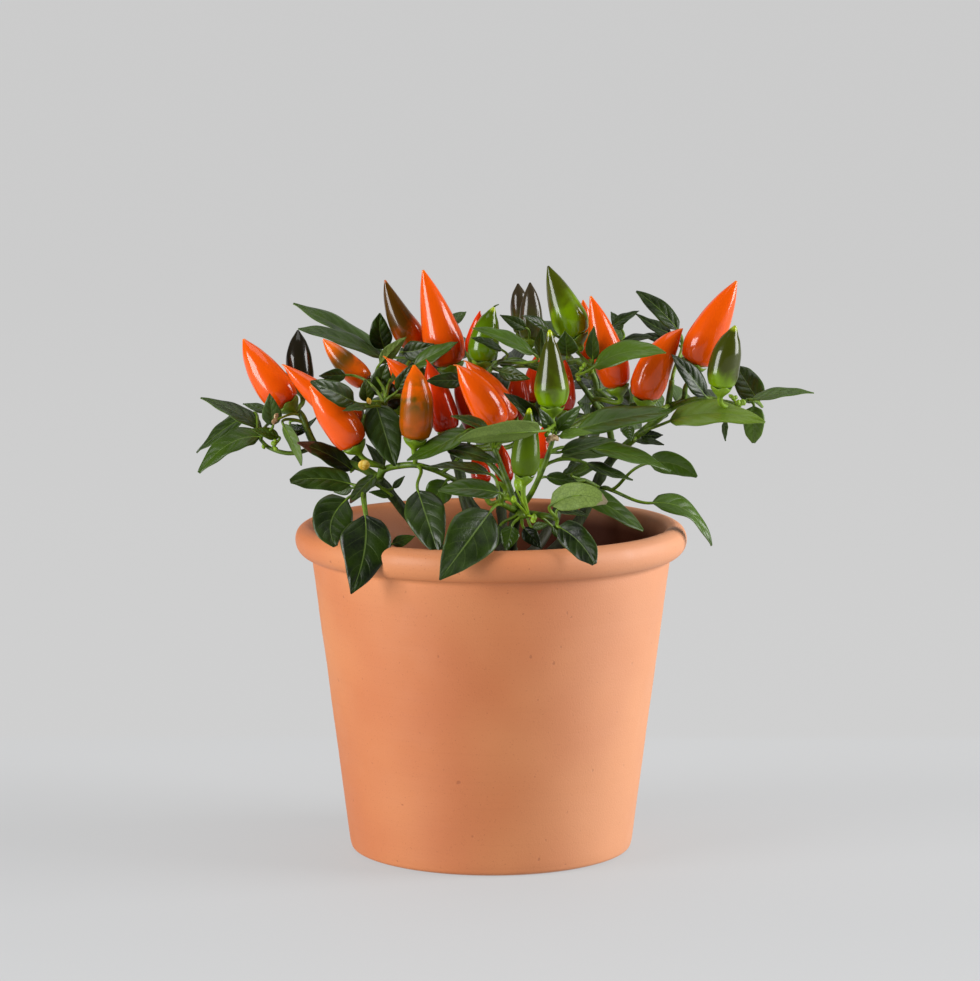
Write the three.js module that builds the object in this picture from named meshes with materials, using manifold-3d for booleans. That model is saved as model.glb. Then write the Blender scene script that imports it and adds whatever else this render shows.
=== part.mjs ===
// Potted ornamental chilli pepper plant: terracotta pot, potting soil, branching stem,
// leafy sprays with their calyxes, and upright conical peppers.
// Millimetres, +Z up, origin on the pot axis at the pot's underside, front towards -Y.
import * as THREE from 'three';
import { mergeVertices } from 'three/addons/utils/BufferGeometryUtils.js';
import Module from 'manifold-3d';

const wasm = await Module();
wasm.setup();

// Pot: its wall as [radius, height], from the underside out, over the rolled lip and down inside.
const POT_SIDES = 38;
const POT_WALL = [
  [0, 0], [58, 0], [60.8, 1.2], [61.7, 4], [77.9, 129.4], [81.2, 130], [84.1, 133], [85, 137],
  [83.7, 140.8], [80, 143], [76.6, 141.9], [74.6, 138.6], [71.6, 127], [56.6, 11.4], [53.4, 8], [0, 8],
];
const LIP_ROWS = [4, 13];
const DRAIN_HOLES = 3;
const DRAIN_RADIUS = 4;
const DRAIN_CIRCLE = 28;
const HOLE_SIDES = 16;
const THROUGH = 1;

// Soil: fills the pot up to its top, clear of the wall, with a plain hole for the root.
const SOIL_TOP = 113;
const SOIL_BOTTOM = 8.3;
const SOIL_EDGE = 2;
const SOIL_CROWN = 60;
const WALL_GAP = 0.3;

// Plant: what separates the pieces, and the sizes of blades, stalks and calyxes.
const GAP = 0.35;
const BLADE_THICKNESS = 0.7;
const BLADE_RATIO = 0.4;
const BLADE_FOLD = 0.22;
const BLADE_ARCH = 0.05;
const LEAST_HALF = 0.4;
const KEELED_FROM = 10.5;
const PETIOLE_RADIUS = 0.7;
const PETIOLE_FLATNESS = 0.8;
const PEDICEL_RADIUS = 1.05;
const LONG_PEDICEL = 9;
const CALYX_HEIGHT = 4.2;
const CALYX_RATIO = 0.66;
const CALYX_FLARE = [[0.6, 0.95], [1, 1]];
const PLUMP_FROM = 12.4;

// Facets: sides of round pieces, steps along them, and the finest facet kept at a joint.
const FRUIT_SIDES = 7;
const PEDICEL_SIDES = 5;
const TWIG_SIDES = 4;
const LIMB_SIDES = 6;
const STALK_STEPS = 2;
const FINE_STEPS = 24;
const ARC_REACH = 0.36;
const FINEST = 0.25;

// Clearing: how far a blade or pepper is stepped back at a time, how often at most, the air kept
// between two pieces, and how near two samples are seen (sheet units) to count as one place.
const STEP_BACK = 1.5;
const MOST_STEPS = 14;
const CLEAR = 1.3;
const NEAR = 6;
const SAMPLES = 10;
const SIDE_SHARES = [-0.9, -0.45, 0, 0.45, 0.9];

// The eye from which the plant is laid out. A place is [across, down, depth]: the first two on a
// flat sheet seen from the eye, in units of the sheet, the third its y in mm.
const EYE = { distance: 1800, height: 407.3, pitch: 0.138, focal: 4187.8, across: 491.05, down: 490.5 };

// Half width along a blade, and radius along a fruit, as [share of length, share of most on a slim
// one, share of most on a full one].
const BLADE_OUTLINE = [[0, 0.06, 0.06], [0.11, 0.66, 0.82], [0.34, 1, 1], [0.74, 0.56, 0.88], [1, 0.03, 0.2]];
const SMALL_OUTLINE = [[0, 0.1, 0.1], [0.3, 1, 1], [0.7, 0.66, 0.9], [1, 0.04, 0.2]];
const FRUIT_OUTLINE = [
  [0, 0.36, 0.36], [0.06, 0.78, 0.82], [0.24, 1, 1], [0.5, 0.76, 0.94], [0.78, 0.4, 0.62], [1, 0.05, 0.07],
];

// Strips of a leaf's skin that take the other diagonal, so that both faces are split alike.
const KEELED_FLIPS = [false, false, true, false, false, true];
const FLAT_FLIPS = [false, false, false, true];

const COLOURS = {
  pot: 0xc97850, soil: 0x2c211a, stem: 0x46602c, spray: 0x2f5530, orange: 0xe8501c, amber: 0xd8781c,
  red: 0xa82410, brown: 0x7a3c12, green: 0x5f9420, dark_green: 0x42561c, pale_green: 0x7e9638,
  olive: 0x45402a, black: 0x241c22,
};
const MATT = 0.85;
const LEAFY = 0.55;
const GLOSSY = 0.25;

// Woody limbs, fused into one stem: radius at both ends (mm) and the places they pass.
const LIMBS = [
  { radius: [3.4, 2.8], line: [[505, 632, 0], [505, 592, 0], [508, 572, -1], [510, 548, -5]] },
  { radius: [2.6, 2], line: [[508, 575, -1], [511, 548, -14], [514, 528, -30], [518, 512, -46]] },
  { radius: [2.7, 2.1], line: [[505, 583, 0], [478, 568, -3], [436, 546, -10], [405, 512, -18],
    [379, 479, -26]] },
  { radius: [2.7, 1.9], line: [[506, 581, 0], [540, 562, 3], [569, 534, 7], [586, 509, 9], [598, 481, 8],
    [611, 460, 6], [624, 447, 4]] },
  { radius: [2.4, 1.6], line: [[509, 560, -2], [484, 525, 10], [464, 490, 14], [455, 455, 14],
    [442, 415, 14],
    [430, 388, 14]] },
  { radius: [2.4, 1.6], line: [[510, 556, -3], [516, 510, 10], [528, 455, 16], [540, 405, 12],
    [549, 372, 8]] },
  { radius: [2.5, 1.7], line: [[505, 578, 2], [482, 545, 26], [464, 500, 40], [457, 455, 48],
    [440, 420, 56],
    [425, 400, 62]] },
  { radius: [2.5, 1.7], line: [[507, 578, 3], [504, 540, 34], [500, 492, 60], [498, 450, 76]] },
  { radius: [2.5, 1.7], line: [[509, 576, 2], [542, 540, 28], [562, 500, 42], [574, 465, 50],
    [586, 430, 56],
    [596, 405, 60]] },
];

// Sprays. twigs: as the limbs. leaves: tip and base of the blade, shown = width as seen from the
// eye (mm), mid = a place the spine passes, full = 0 for a pointed blade (as if not given) to 1 for
// one that stays broad, under = its pale side faces the eye, wide = true width (mm), from = where
// its stalk starts if not at the nearest twig.
const SPRAYS = {
  left: {
    twigs: [
      { radius: [2, 1.4], line: [[379, 479, -26], [362, 468, -25], [345, 462, -24], [316, 446, -20],
        [303, 418, -17],
        [299, 412, -16]] },
      { radius: [1.1, 0.8], line: [[316, 446, -20], [300, 452, -20], [286, 453, -20], [268, 447, -18],
        [261, 440, -17]] },
      { radius: [1.6, 1.1], line: [[379, 479, -27], [384, 470, -32], [398, 466, -38], [415, 465, -42],
        [432, 469, -42],
        [455, 480, -38]] },
      { radius: [1.3, 0.9], line: [[379, 479, -28], [372, 485, -40], [364, 490, -48]] },
      { radius: [1.4, 0.9], line: [[380, 476, -28], [385, 445, -28], [385, 415, -26], [386, 398, -24]] },
    ],
    leaves: [
      { tip: [200.6, 398, -8], base: [262, 429, -14], shown: 6.6, mid: [234, 411.5, -12] },
      { tip: [197, 453, 4], base: [250, 414, -4], shown: 6.5 },
      { tip: [199, 473, -22], base: [260, 437, -18], mid: [229, 444, -20], shown: 9, full: 0.5 },
      { tip: [243, 404, 4], base: [268, 412, 0], shown: 4 },
      { tip: [269.5, 393.5, -27], base: [273, 425, -22], shown: 8.6 },
      { tip: [251, 429, -26], base: [279, 437, -21], shown: 5 },
      { tip: [301.5, 465.6, -27], base: [283, 424, -22], shown: 5, full: 0.3, under: true },
      { tip: [317.7, 416, -26], base: [290, 424, -21], mid: [300, 430, -25], shown: 5 },
      { tip: [297, 443, -34], base: [352, 470, -30], mid: [326, 453.5, -32], shown: 8.2, full: 0.3 },
      { tip: [290, 481.5, -38], base: [351, 484, -36], shown: 10, full: 0.9, mid: [320, 478.5, -36] },
      { tip: [350, 503, -54], base: [375, 476, -44], shown: 6, full: 0.4 },
      { tip: [335.5, 546.5, -64], base: [347, 499, -52], shown: 17, full: 0.5, mid: [331, 522, -58],
        from: [366, 489, -48] },
      { tip: [351, 594, -76], base: [365, 515, -64], shown: 21.4, mid: [364, 553, -70],
        from: [364, 490, -48] },
      { tip: [361, 452, -16], base: [352, 470, -18], shown: 5 },
      { tip: [404.7, 476, -38], base: [393, 488, -38], shown: 3 },
      { tip: [369, 492, -34], base: [391, 496, -34], shown: 3.5 },
      { tip: [334, 492, -16], base: [352, 488, -20], shown: 5 },
      { tip: [439, 556, -77], base: [418, 491, -60], shown: 17, full: 0.2, from: [417, 466, -42] },
      { tip: [425, 512, -46], base: [446, 481, -40], shown: 11.5 },
      { tip: [407, 461, -50], base: [468, 430, -44], shown: 8, full: 0.2, mid: [438, 446, -47],
        from: [440, 472, -41] },
      { tip: [395, 466, -50], base: [376, 405, -40], shown: 15.5, full: 0.25, from: [385, 410, -26] },
      { tip: [366, 444, -34], base: [382, 466, -30], shown: 4.3 },
      { tip: [310.5, 381.5, -54], base: [354, 402, -40], shown: 9.5, full: 0.4, from: [385, 412, -26] },
      { tip: [343, 411, -52], base: [366, 407, -44], shown: 3.4, from: [385, 414, -26] },
      { tip: [319, 376, -16], base: [346, 375, -14], shown: 6, from: [385, 405, -25] },
      { tip: [387, 364, -18], base: [383, 396, -16], shown: 10, full: 0.4, mid: [381.5, 380.5, -17] },
      { tip: [365, 379, -22], base: [367.5, 402, -20], shown: 6.6, from: [385, 408, -25] },
      { tip: [410, 365, -32], base: [398, 390, -28], shown: 6, from: [386, 402, -24] },
      { tip: [298, 329, 0], base: [382, 358, 4], shown: 6, full: 0.3, mid: [338, 338, 2],
        from: [386, 398, -22] },
      { tip: [293, 304, 10], base: [386, 357, 12], shown: 6.4, full: 0.3, mid: [340, 327.5, 10],
        from: [386, 398, -22] },
      { tip: [406, 337, -8], base: [380, 364, -6], shown: 6, under: true, from: [386, 398, -22] },
      { tip: [415, 536, -62], base: [392, 544, -64], shown: 5, from: [366, 489, -48] },
    ],
  },
  upper_left: {
    twigs: [
      { radius: [1.6, 1], line: [[430, 388, 14], [424, 374, 12], [417, 360, 8]] },
      { radius: [1.4, 1], line: [[430, 388, 14], [440, 382, 8], [449, 376, 3]] },
    ],
    leaves: [
      { tip: [380, 313, 8], base: [385, 349, 12], shown: 10, full: 0.3, mid: [380, 332, 10] },
      { tip: [434, 344, -8], base: [403, 352, -2], shown: 9, mid: [418, 350, -5] },
      { tip: [458, 342, -26], base: [413, 366, -20], shown: 7, mid: [436, 353, -24] },
      { tip: [427, 381, -34], base: [463, 380, -30], shown: 7, full: 0.4 },
      { tip: [466, 312, 34], base: [449, 324, 24], shown: 5 },
      { tip: [424, 330, 60], base: [436, 352, 30], wide: 15 },
      { tip: [460, 336, 66], base: [452, 358, 34], wide: 16 },
      { tip: [398, 356, 46], base: [414, 362, 18], wide: 14 },
      { tip: [446, 352, 40], base: [430, 366, 18], wide: 13 },
    ],
  },
  upper: {
    twigs: [
      { radius: [1.6, 1.1], line: [[549, 372, 8], [556, 356, 3], [566, 347, -3]] },
      { radius: [1.5, 1], line: [[549, 372, 8], [532, 366, 6], [516, 360, 2], [500, 362, -4]] },
      { radius: [1.4, 1], line: [[549, 372, 8], [541, 356, 12], [531, 350, 13]] },
      { radius: [1.4, 1], line: [[552, 364, 6], [575, 362, 12], [598, 352, 18], [616, 346, 20]] },
    ],
    leaves: [
      { tip: [565, 331, -36], base: [567, 356, -28], shown: 10 },
      { tip: [542, 328, -30], base: [541, 358, -22], shown: 4.7 },
      { tip: [522, 315.6, -28], base: [550, 331, -20], shown: 4.3 },
      { tip: [472, 328, -42], base: [534, 354, -32], shown: 6.2, mid: [505, 338.5, -38] },
      { tip: [471, 338, -38], base: [502, 350, -30], shown: 3.8, mid: [487, 343, -34] },
      { tip: [500, 315, 2], base: [526, 328, 6], shown: 5.5 },
      { tip: [639, 311, 28], base: [612, 326, 26], shown: 4.5 },
      { tip: [611, 312, 34], base: [622, 330, 28], shown: 5 },
      { tip: [655, 337.5, 4], base: [622, 341, 10], shown: 3.6 },
      { tip: [594, 326, -30], base: [593, 360, -24], shown: 6 },
      { tip: [530, 379, -30], base: [499, 371, -22], shown: 6.5 },
      { tip: [478, 352, 60], base: [494, 366, 30], wide: 15 },
      { tip: [511, 352, 58], base: [519, 363, 28], wide: 15 },
      { tip: [560, 350, 50], base: [556, 366, 20], wide: 14 },
      { tip: [540, 320, 62], base: [545, 345, 36], wide: 16 },
      { tip: [580, 322, 70], base: [572, 346, 42], wide: 15 },
      { tip: [622, 330, 60], base: [600, 350, 36], wide: 14 },
    ],
  },
  front: {
    twigs: [
      { radius: [1.9, 1.4], line: [[518, 512, -46], [523, 515, -56], [527, 515, -66]] },
      { radius: [1.5, 1.1], line: [[518, 512, -46], [508, 507, -54], [502, 504, -60]] },
    ],
    leaves: [
      { tip: [439.5, 580, -94], base: [490, 512, -74], shown: 21.5 },
      { tip: [438, 491, -72], base: [500, 493, -66], shown: 8.2, full: 0.3, mid: [468, 488.5, -70] },
      { tip: [425, 467, -58], base: [490, 474, -56], shown: 4.6, mid: [460, 467, -57] },
      { tip: [549, 524, -68], base: [533, 527, -66], shown: 3.6 },
      { tip: [486, 552, -60], base: [500, 526, -52], shown: 9 },
      { tip: [541, 548, -56], base: [524, 528, -52], shown: 7 },
      { tip: [506, 551, -62], base: [512, 526, -58], shown: 8 },
    ],
  },
  centre: {
    twigs: [
      { radius: [1.6, 1.1], line: [[518, 512, -46], [511, 492, -46], [502, 468, -44], [494, 448, -42]] },
      { radius: [1.3, 1], line: [[508, 484, -45], [488, 462, -38], [466, 449, -30]] },
    ],
    leaves: [
      { tip: [500, 464, -52], base: [446, 448, -46], shown: 7 },
      { tip: [451, 416, -58], base: [490, 430, -52], shown: 4.6 },
    ],
  },
  middle: {
    twigs: [
      { radius: [1.35, 0.9], line: [[518, 512, -46], [532, 492, -54], [544, 466, -60], [552, 442, -62],
        [555, 430, -62]] },
    ],
    leaves: [
      { tip: [458, 441, -90], base: [540, 431, -82], shown: 8.2, full: 0.7, mid: [500, 433.5, -90],
        under: true },
      { tip: [504, 393, -64], base: [540, 424, -58], shown: 6.5 },
      { tip: [539, 408, -74], base: [551, 431, -68], shown: 5 },
      { tip: [581.5, 405, -72], base: [557, 430, -66], shown: 6.5 },
      { tip: [592, 433, -76], base: [559, 436, -70], shown: 4.3 },
      { tip: [616, 440, -62], base: [561, 452, -60], shown: 6 },
      { tip: [671, 471.5, -50], base: [590, 449, -54], shown: 7, mid: [632, 455.5, -52] },
      { tip: [633, 480, -58], base: [586, 463, -58], shown: 4.5, mid: [611, 472.5, -58] },
      { tip: [612, 456, -30], base: [561, 458, -34], shown: 5.5, mid: [586, 453.5, -32] },
      { tip: [580, 484, -52], base: [546, 477, -56], shown: 5.5 },
    ],
  },
  front_right: {
    twigs: [
      { radius: [1.5, 1], line: [[519, 513, -47], [534, 514, -60], [548, 516, -68], [556, 519, -70]] },
    ],
    leaves: [
      { tip: [607, 503, -84], base: [551, 505, -78], shown: 11.4, full: 0.6, under: true,
        mid: [579, 495.5, -82] },
      { tip: [588, 516, -74], base: [558, 510, -70], shown: 3.4 },
      { tip: [594.5, 564.5, -84], base: [559, 527, -76], shown: 11.6, full: 0.9, mid: [579, 542, -80] },
      { tip: [568, 540, -52], base: [552, 526, -58], shown: 5 },
    ],
  },
  right_low: {
    twigs: [
      { radius: [1.4, 0.9], line: [[593, 492, 8], [600, 489, 0], [606, 488, -8], [611, 490, -14]] },
      { radius: [1.1, 0.9], line: [[600, 489, 0], [592, 484, -16], [584, 480, -30]] },
    ],
    leaves: [
      { tip: [697, 477, -36], base: [649, 463, -32], shown: 9.8, full: 0.5, mid: [674, 464, -34] },
      { tip: [711, 546, -14], base: [652, 503, -20], shown: 6.8, full: 0.3, mid: [689, 512, -16] },
      { tip: [643, 531, -46], base: [573, 488, -46], shown: 8.6, full: 0.5, mid: [611, 508, -46] },
      { tip: [600, 462, -36], base: [572, 474, -34], shown: 3.6 },
      { tip: [604, 464, -12], base: [562, 477, -18], shown: 6 },
    ],
  },
  right: {
    twigs: [
      { radius: [1.6, 1], line: [[612, 458, 6], [610, 432, 2], [598, 408, -6], [584, 388, -12],
        [578, 380, -15]] },
    ],
    leaves: [
      { tip: [666, 353, -56], base: [594, 367, -42], shown: 9.5, full: 0.15, mid: [627, 352, -50] },
      { tip: [671.5, 412, -42], base: [577, 430, -46], shown: 9.8, full: 0.3, mid: [625, 417.5, -44] },
      { tip: [631, 441, -18], base: [627, 426, -14], shown: 5.6 },
    ],
  },
  far_right: {
    twigs: [
      { radius: [1.8, 1.2], line: [[624, 447, 4], [648, 427, -6], [666, 411, -12], [670, 393, -16],
        [672, 380, -16]] },
      { radius: [1.3, 0.9], line: [[658, 418, -10], [682, 403, -18], [704, 398, -24], [725, 402, -26],
        [738, 404, -28],
        [748, 400, -26]] },
      { radius: [1.4, 1], line: [[668, 406, -14], [683, 400, -16], [686, 386, -18], [694, 378, -20]] },
    ],
    leaves: [
      { tip: [765, 423, -46], base: [670, 421, -38], shown: 11, full: 0.3, mid: [714, 413, -44],
        from: [636, 438, -1] },
      { tip: [753.5, 443, -26], base: [754, 406, -26], shown: 9.2, full: 0.7 },
      { tip: [725.5, 441, -26], base: [726, 420, -25], shown: 2.6 },
      { tip: [814, 393, -28], base: [752, 400, -28], shown: 4.6, mid: [783, 393, -28] },
      { tip: [737, 367, 4], base: [759, 402, -8], shown: 11.6, full: 0.7 },
      { tip: [671.5, 354.5, -44], base: [705, 396, -36], shown: 8.6, full: 0.2 },
      { tip: [636, 291.5, 0], base: [678, 330, -4], shown: 7.6, full: 0.3, mid: [658, 308, -2] },
      { tip: [636, 314, 8], base: [671, 334, 6], shown: 5.2, mid: [654.5, 326, 7] },
      { tip: [640, 335, 12], base: [672, 342, 8], shown: 4.6 },
      { tip: [664, 445, -14], base: [636, 441, -8], shown: 3 },
      { tip: [663, 435, -4], base: [640, 436, -4], shown: 5 },
      { tip: [684, 392, 42], base: [676, 402, 10], wide: 14 },
      { tip: [654, 408, 44], base: [650, 420, 12], wide: 14 },
      { tip: [716, 396, 24], base: [712, 402, -4], wide: 12 },
    ],
  },
  back_left: {
    twigs: [
      { radius: [1.7, 1.1], line: [[425, 400, 62], [428, 380, 62], [438, 366, 60]] },
      { radius: [1.5, 1], line: [[427, 388, 62], [405, 404, 58], [384, 415, 50], [362, 425, 42]] },
    ],
    leaves: [
      { tip: [455, 372, 100], base: [446, 385, 70], wide: 16 },
      { tip: [404, 372, 88], base: [420, 388, 66], wide: 15 },
      { tip: [450, 392, 40], base: [434, 396, 58], wide: 13 },
      { tip: [392, 392, 36], base: [402, 404, 54], wide: 13 },
      { tip: [430, 392, 112], base: [430, 404, 76], wide: 18 },
      { tip: [395, 396, 92], base: [404, 408, 66], wide: 15 },
      { tip: [372, 400, 78], base: [385, 414, 56], wide: 15 },
      { tip: [348, 418, 66], base: [362, 426, 46], wide: 14 },
      { tip: [330, 404, 44], base: [354, 422, 36], wide: 13 },
      { tip: [386, 436, 82], base: [388, 424, 56], wide: 14 },
    ],
  },
  back: {
    twigs: [
      { radius: [1.7, 1.1], line: [[498, 450, 76], [500, 425, 80], [506, 402, 80]] },
      { radius: [1.5, 1], line: [[498, 450, 76], [484, 440, 78], [478, 425, 78]] },
      { radius: [1.5, 1], line: [[499, 440, 78], [520, 425, 80], [540, 415, 78]] },
    ],
    leaves: [
      { tip: [470, 398, 112], base: [478, 416, 84], wide: 17 },
      { tip: [512, 375, 114], base: [508, 398, 86], wide: 17 },
      { tip: [548, 398, 110], base: [542, 412, 84], wide: 16 },
      { tip: [500, 418, 122], base: [502, 424, 88], wide: 18 },
      { tip: [462, 424, 100], base: [476, 434, 80], wide: 14 },
      { tip: [566, 418, 96], base: [545, 420, 80], wide: 14 },
      { tip: [484, 452, 110], base: [494, 442, 82], wide: 15 },
      { tip: [530, 446, 108], base: [516, 434, 84], wide: 15 },
      { tip: [490, 372, 84], base: [500, 396, 74], wide: 13 },
      { tip: [526, 400, 58], base: [514, 412, 74], wide: 14 },
      { tip: [470, 404, 56], base: [484, 416, 72], wide: 14 },
    ],
  },
  back_right: {
    twigs: [
      { radius: [1.7, 1.1], line: [[596, 405, 60], [596, 384, 60], [590, 368, 58]] },
      { radius: [1.5, 1], line: [[596, 390, 60], [612, 402, 56], [634, 405, 48], [648, 400, 42]] },
    ],
    leaves: [
      { tip: [585, 375, 96], base: [592, 388, 68], wide: 16 },
      { tip: [618, 380, 84], base: [600, 390, 66], wide: 14 },
      { tip: [578, 402, 38], base: [590, 404, 56], wide: 13 },
      { tip: [628, 384, 34], base: [616, 398, 52], wide: 13 },
      { tip: [612, 402, 98], base: [606, 410, 64], wide: 17 },
      { tip: [646, 396, 78], base: [632, 406, 54], wide: 15 },
      { tip: [664, 400, 54], base: [650, 401, 42], wide: 12 },
      { tip: [580, 432, 98], base: [594, 418, 74], wide: 15 },
      { tip: [640, 428, 72], base: [622, 414, 54], wide: 13 },
      { tip: [568, 362, 78], base: [584, 376, 62], wide: 13 },
    ],
  },
};

// Peppers: tip and stalk end, width (mm), bend = sideways bow of the axis (mm), full = 0 for a
// slim cone to 1 for a full one and more for a blunt one, the spray that bears it, and its ripeness.
const PEPPERS = [
  { on: 'left', tip: [243.4, 339, -10], base: [289, 405, -16], width: 15.5, bend: -1, full: 0.75,
    tone: 'orange' },
  { on: 'left', tip: [284, 365, -30], base: [360, 424, -30], width: 13.8, bend: -1, full: 0.5,
    tone: 'orange' },
  { on: 'left', tip: [310, 386, -46], base: [355, 446, -44], width: 15.4, bend: 0.8, full: 1.1,
    tone: 'orange' },
  { on: 'left', tip: [298, 330, -2], base: [301.5, 388, -6], width: 12, bend: -0.4, full: 1,
    tone: 'black' },
  { on: 'left', tip: [323, 339, -8], base: [367, 383, -10], width: 10.8, bend: -0.4, full: 0.8,
    tone: 'amber' },
  { on: 'upper_left', tip: [385, 280, 5], base: [418, 347, 5], width: 12.8, bend: -1.6, full: 0.3,
    tone: 'brown' },
  { on: 'upper_left', tip: [423, 270, 0], base: [451, 366, 0], width: 17.6, bend: -0.2, full: 0.25,
    tone: 'orange' },
  { on: 'left', tip: [386, 358, -24], base: [422, 390, -22], width: 9.5, bend: 0, full: 0.3,
    tone: 'orange' },
  { on: 'left', tip: [414, 365, -46], base: [415, 440, -44], width: 14.4, bend: 0.9, full: 1.2,
    tone: 'amber' },
  { on: 'centre', tip: [428, 362, -24], base: [448, 432, -25], width: 12.9, bend: 0, full: 0.8,
    tone: 'red' },
  { on: 'centre', tip: [455, 380, -18], base: [482, 432, -20], width: 12, bend: 0, full: 0.6, tone: 'red' },
  { on: 'centre', tip: [457.4, 365.5, -55], base: [498, 427, -53], width: 14.6, bend: 0.8, full: 0.8,
    tone: 'orange' },
  { on: 'centre', tip: [466.6, 361.7, -36], base: [508, 424, -36], width: 14.6, bend: 0.6, full: 0.8,
    tone: 'orange' },
  { on: 'centre', tip: [517, 370, -14], base: [518, 425, -16], width: 10.6, bend: 0, full: 0.8,
    tone: 'red' },
  { on: 'upper', tip: [494, 307, -20], base: [482, 362, -20], width: 13.3, bend: -1, full: 0.8,
    tone: 'green' },
  { on: 'upper', tip: [480, 311, -2], base: [472, 354, 0], width: 7.6, bend: 0, full: 0.5, tone: 'red' },
  { on: 'upper', tip: [518, 283.5, 20], base: [522, 334, 20], width: 8.2, bend: 0, full: 1.6,
    tone: 'olive' },
  { on: 'upper', tip: [530, 282.5, 6], base: [530, 340, 6], width: 10.6, bend: 0.4, full: 0.8,
    tone: 'olive' },
  { on: 'upper', tip: [548, 266, -15], base: [577, 337, -15], width: 15.6, bend: -0.2, full: 0.35,
    tone: 'dark_green' },
  { on: 'upper', tip: [583, 300, 6], base: [590, 360, 6], width: 10.5, bend: 0, full: 0.4, tone: 'orange' },
  { on: 'middle', tip: [549.6, 329.7, -60], base: [552, 408, -60], width: 14.8, bend: 0.2, full: 0.15,
    tone: 'dark_green' },
  { on: 'right', tip: [565, 360, -20], base: [562, 412, -22], width: 11, bend: 0, full: 0.7, tone: 'red' },
  { on: 'right', tip: [590.5, 296, -20], base: [618, 388, -20], width: 14.6, bend: 0.3, full: 0.4,
    tone: 'orange' },
  { on: 'far_right', tip: [682, 329, -28], base: [644.5, 400, -26], width: 15.4, bend: -2.8, full: 0.8,
    tone: 'orange' },
  { on: 'far_right', tip: [736.5, 281, -30], base: [693, 364.5, -30], width: 16.5, bend: -0.2, full: 0.45,
    tone: 'orange' },
  { on: 'far_right', tip: [735.4, 325.6, -48], base: [721, 388, -46], width: 13.3, bend: -0.9, full: 1,
    tone: 'dark_green' },
  { on: 'front', tip: [529.5, 408, -78], base: [524, 477, -78], width: 12, bend: 0, full: 0.6,
    tone: 'pale_green' },
  { on: 'centre', tip: [502, 445, -30], base: [505, 482, -30], width: 8, bend: 0, full: 0.6, tone: 'red' },
  { on: 'centre', tip: [475, 450, -14], base: [483, 484, -16], width: 8.6, bend: 0, full: 0.6,
    tone: 'red' },
  { on: 'middle', tip: [544, 425, -40], base: [541, 460, -42], width: 8, bend: 0, full: 0.4, tone: 'red' },
  { on: 'left', tip: [380, 380, -2], base: [399, 408, -4], width: 11, bend: 0, full: 0.7, tone: 'black' },
  { on: 'back_left', tip: [436, 300, 50], base: [444, 358, 54], width: 13, bend: 0, full: 0.4,
    tone: 'red' },
  { on: 'back_left', tip: [390, 360, 66], base: [398, 397, 72], width: 12, bend: 0, full: 0.6,
    tone: 'orange' },
  { on: 'back_left', tip: [320, 392, 36], base: [352, 430, 42], width: 12, bend: 0, full: 0.3,
    tone: 'orange' },
  { on: 'back', tip: [484, 366, 92], base: [482, 414, 86], width: 13, bend: 0, full: 0.8,
    tone: 'dark_green' },
  { on: 'back', tip: [540, 350, 88], base: [536, 404, 84], width: 14, bend: 0, full: 0.5, tone: 'red' },
  { on: 'back_right', tip: [600, 312, 60], base: [592, 366, 60], width: 13, bend: 0, full: 0.2,
    tone: 'orange' },
  { on: 'back_right', tip: [650, 352, 44], base: [642, 394, 46], width: 12, bend: 0, full: 0.6,
    tone: 'orange' },
];

const UP = new THREE.Vector3(0, 0, 1);
const FRONT = new THREE.Vector3(0, -1, 0);

/** Point of the plant seen at [across, down] from the eye, at the given depth. */
function place([across, down, depth]) {
  const side = (across - EYE.across) / EYE.focal;
  const rise = (EYE.down - down) / EYE.focal;
  const cos = Math.cos(EYE.pitch);
  const sin = Math.sin(EYE.pitch);
  const away = depth + EYE.distance;
  const drop = away * (rise * cos - sin) / (cos + rise * sin);
  return new THREE.Vector3(side * (away * cos - drop * sin), depth, EYE.height + drop);
}

/** Where a point is seen from the eye: [across, down]. */
function seen(p) {
  const cos = Math.cos(EYE.pitch);
  const sin = Math.sin(EYE.pitch);
  const away = p.y + EYE.distance;
  const drop = p.z - EYE.height;
  const far = away * cos - drop * sin;
  return [EYE.across + EYE.focal * p.x / far, EYE.down - EYE.focal * (away * sin + drop * cos) / far];
}

/** Point of a place moved back along its sight line. */
const placeBack = ([across, down, depth], back) => place([across, down, depth + back]);

/** Direction from a point towards the eye. */
const towardsEye = (p) => new THREE.Vector3(0, -EYE.distance, EYE.height).sub(p).normalize();

/** Part of a vector square to a unit axis, made unit. */
const square = (v, axis) => v.clone().addScaledVector(axis, -v.dot(axis)).normalize();

/** Direction in which a row of points runs at one of them. */
function runAt(points, i) {
  const next = points[Math.min(i + 1, points.length - 1)];
  return next.clone().sub(points[Math.max(i - 1, 0)]).normalize();
}

/** Smooth curve through places, cut into equal shares. */
const curveThrough = (line, steps) => (
  new THREE.CatmullRomCurve3(line.map(place), false, 'centripetal').getPoints(steps));

/** Curve from p to q that leaves and arrives along the given directions. */
function arc(p, leave, q, arrive, steps) {
  const reach = p.distanceTo(q) * ARC_REACH;
  const first = p.clone().addScaledVector(leave, reach);
  const second = q.clone().addScaledVector(arrive, -reach);
  return new THREE.CubicBezierCurve3(p, first, second, q).getPoints(steps);
}

/** Curve through a middle point, from base to tip. */
function bow(base, middle, tip) {
  const control = middle.clone().multiplyScalar(2).addScaledVector(tip, -0.5).addScaledVector(base, -0.5);
  return new THREE.QuadraticBezierCurve3(base, control, tip);
}

/** Value of an outline table at a share of the length. */
function shareAt(table, t) {
  const i = Math.max(1, table.findIndex(([share]) => share >= t));
  const [[t0, v0], [t1, v1]] = [table[i - 1], table[i]];
  return v0 + (v1 - v0) * (t - t0) / (t1 - t0);
}

/** Outline between the slim and the full one of a table. */
const outlineOf = (table, full = 0) => table.map(([t, slim, plump]) => [t, slim + (plump - slim) * full]);

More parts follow.
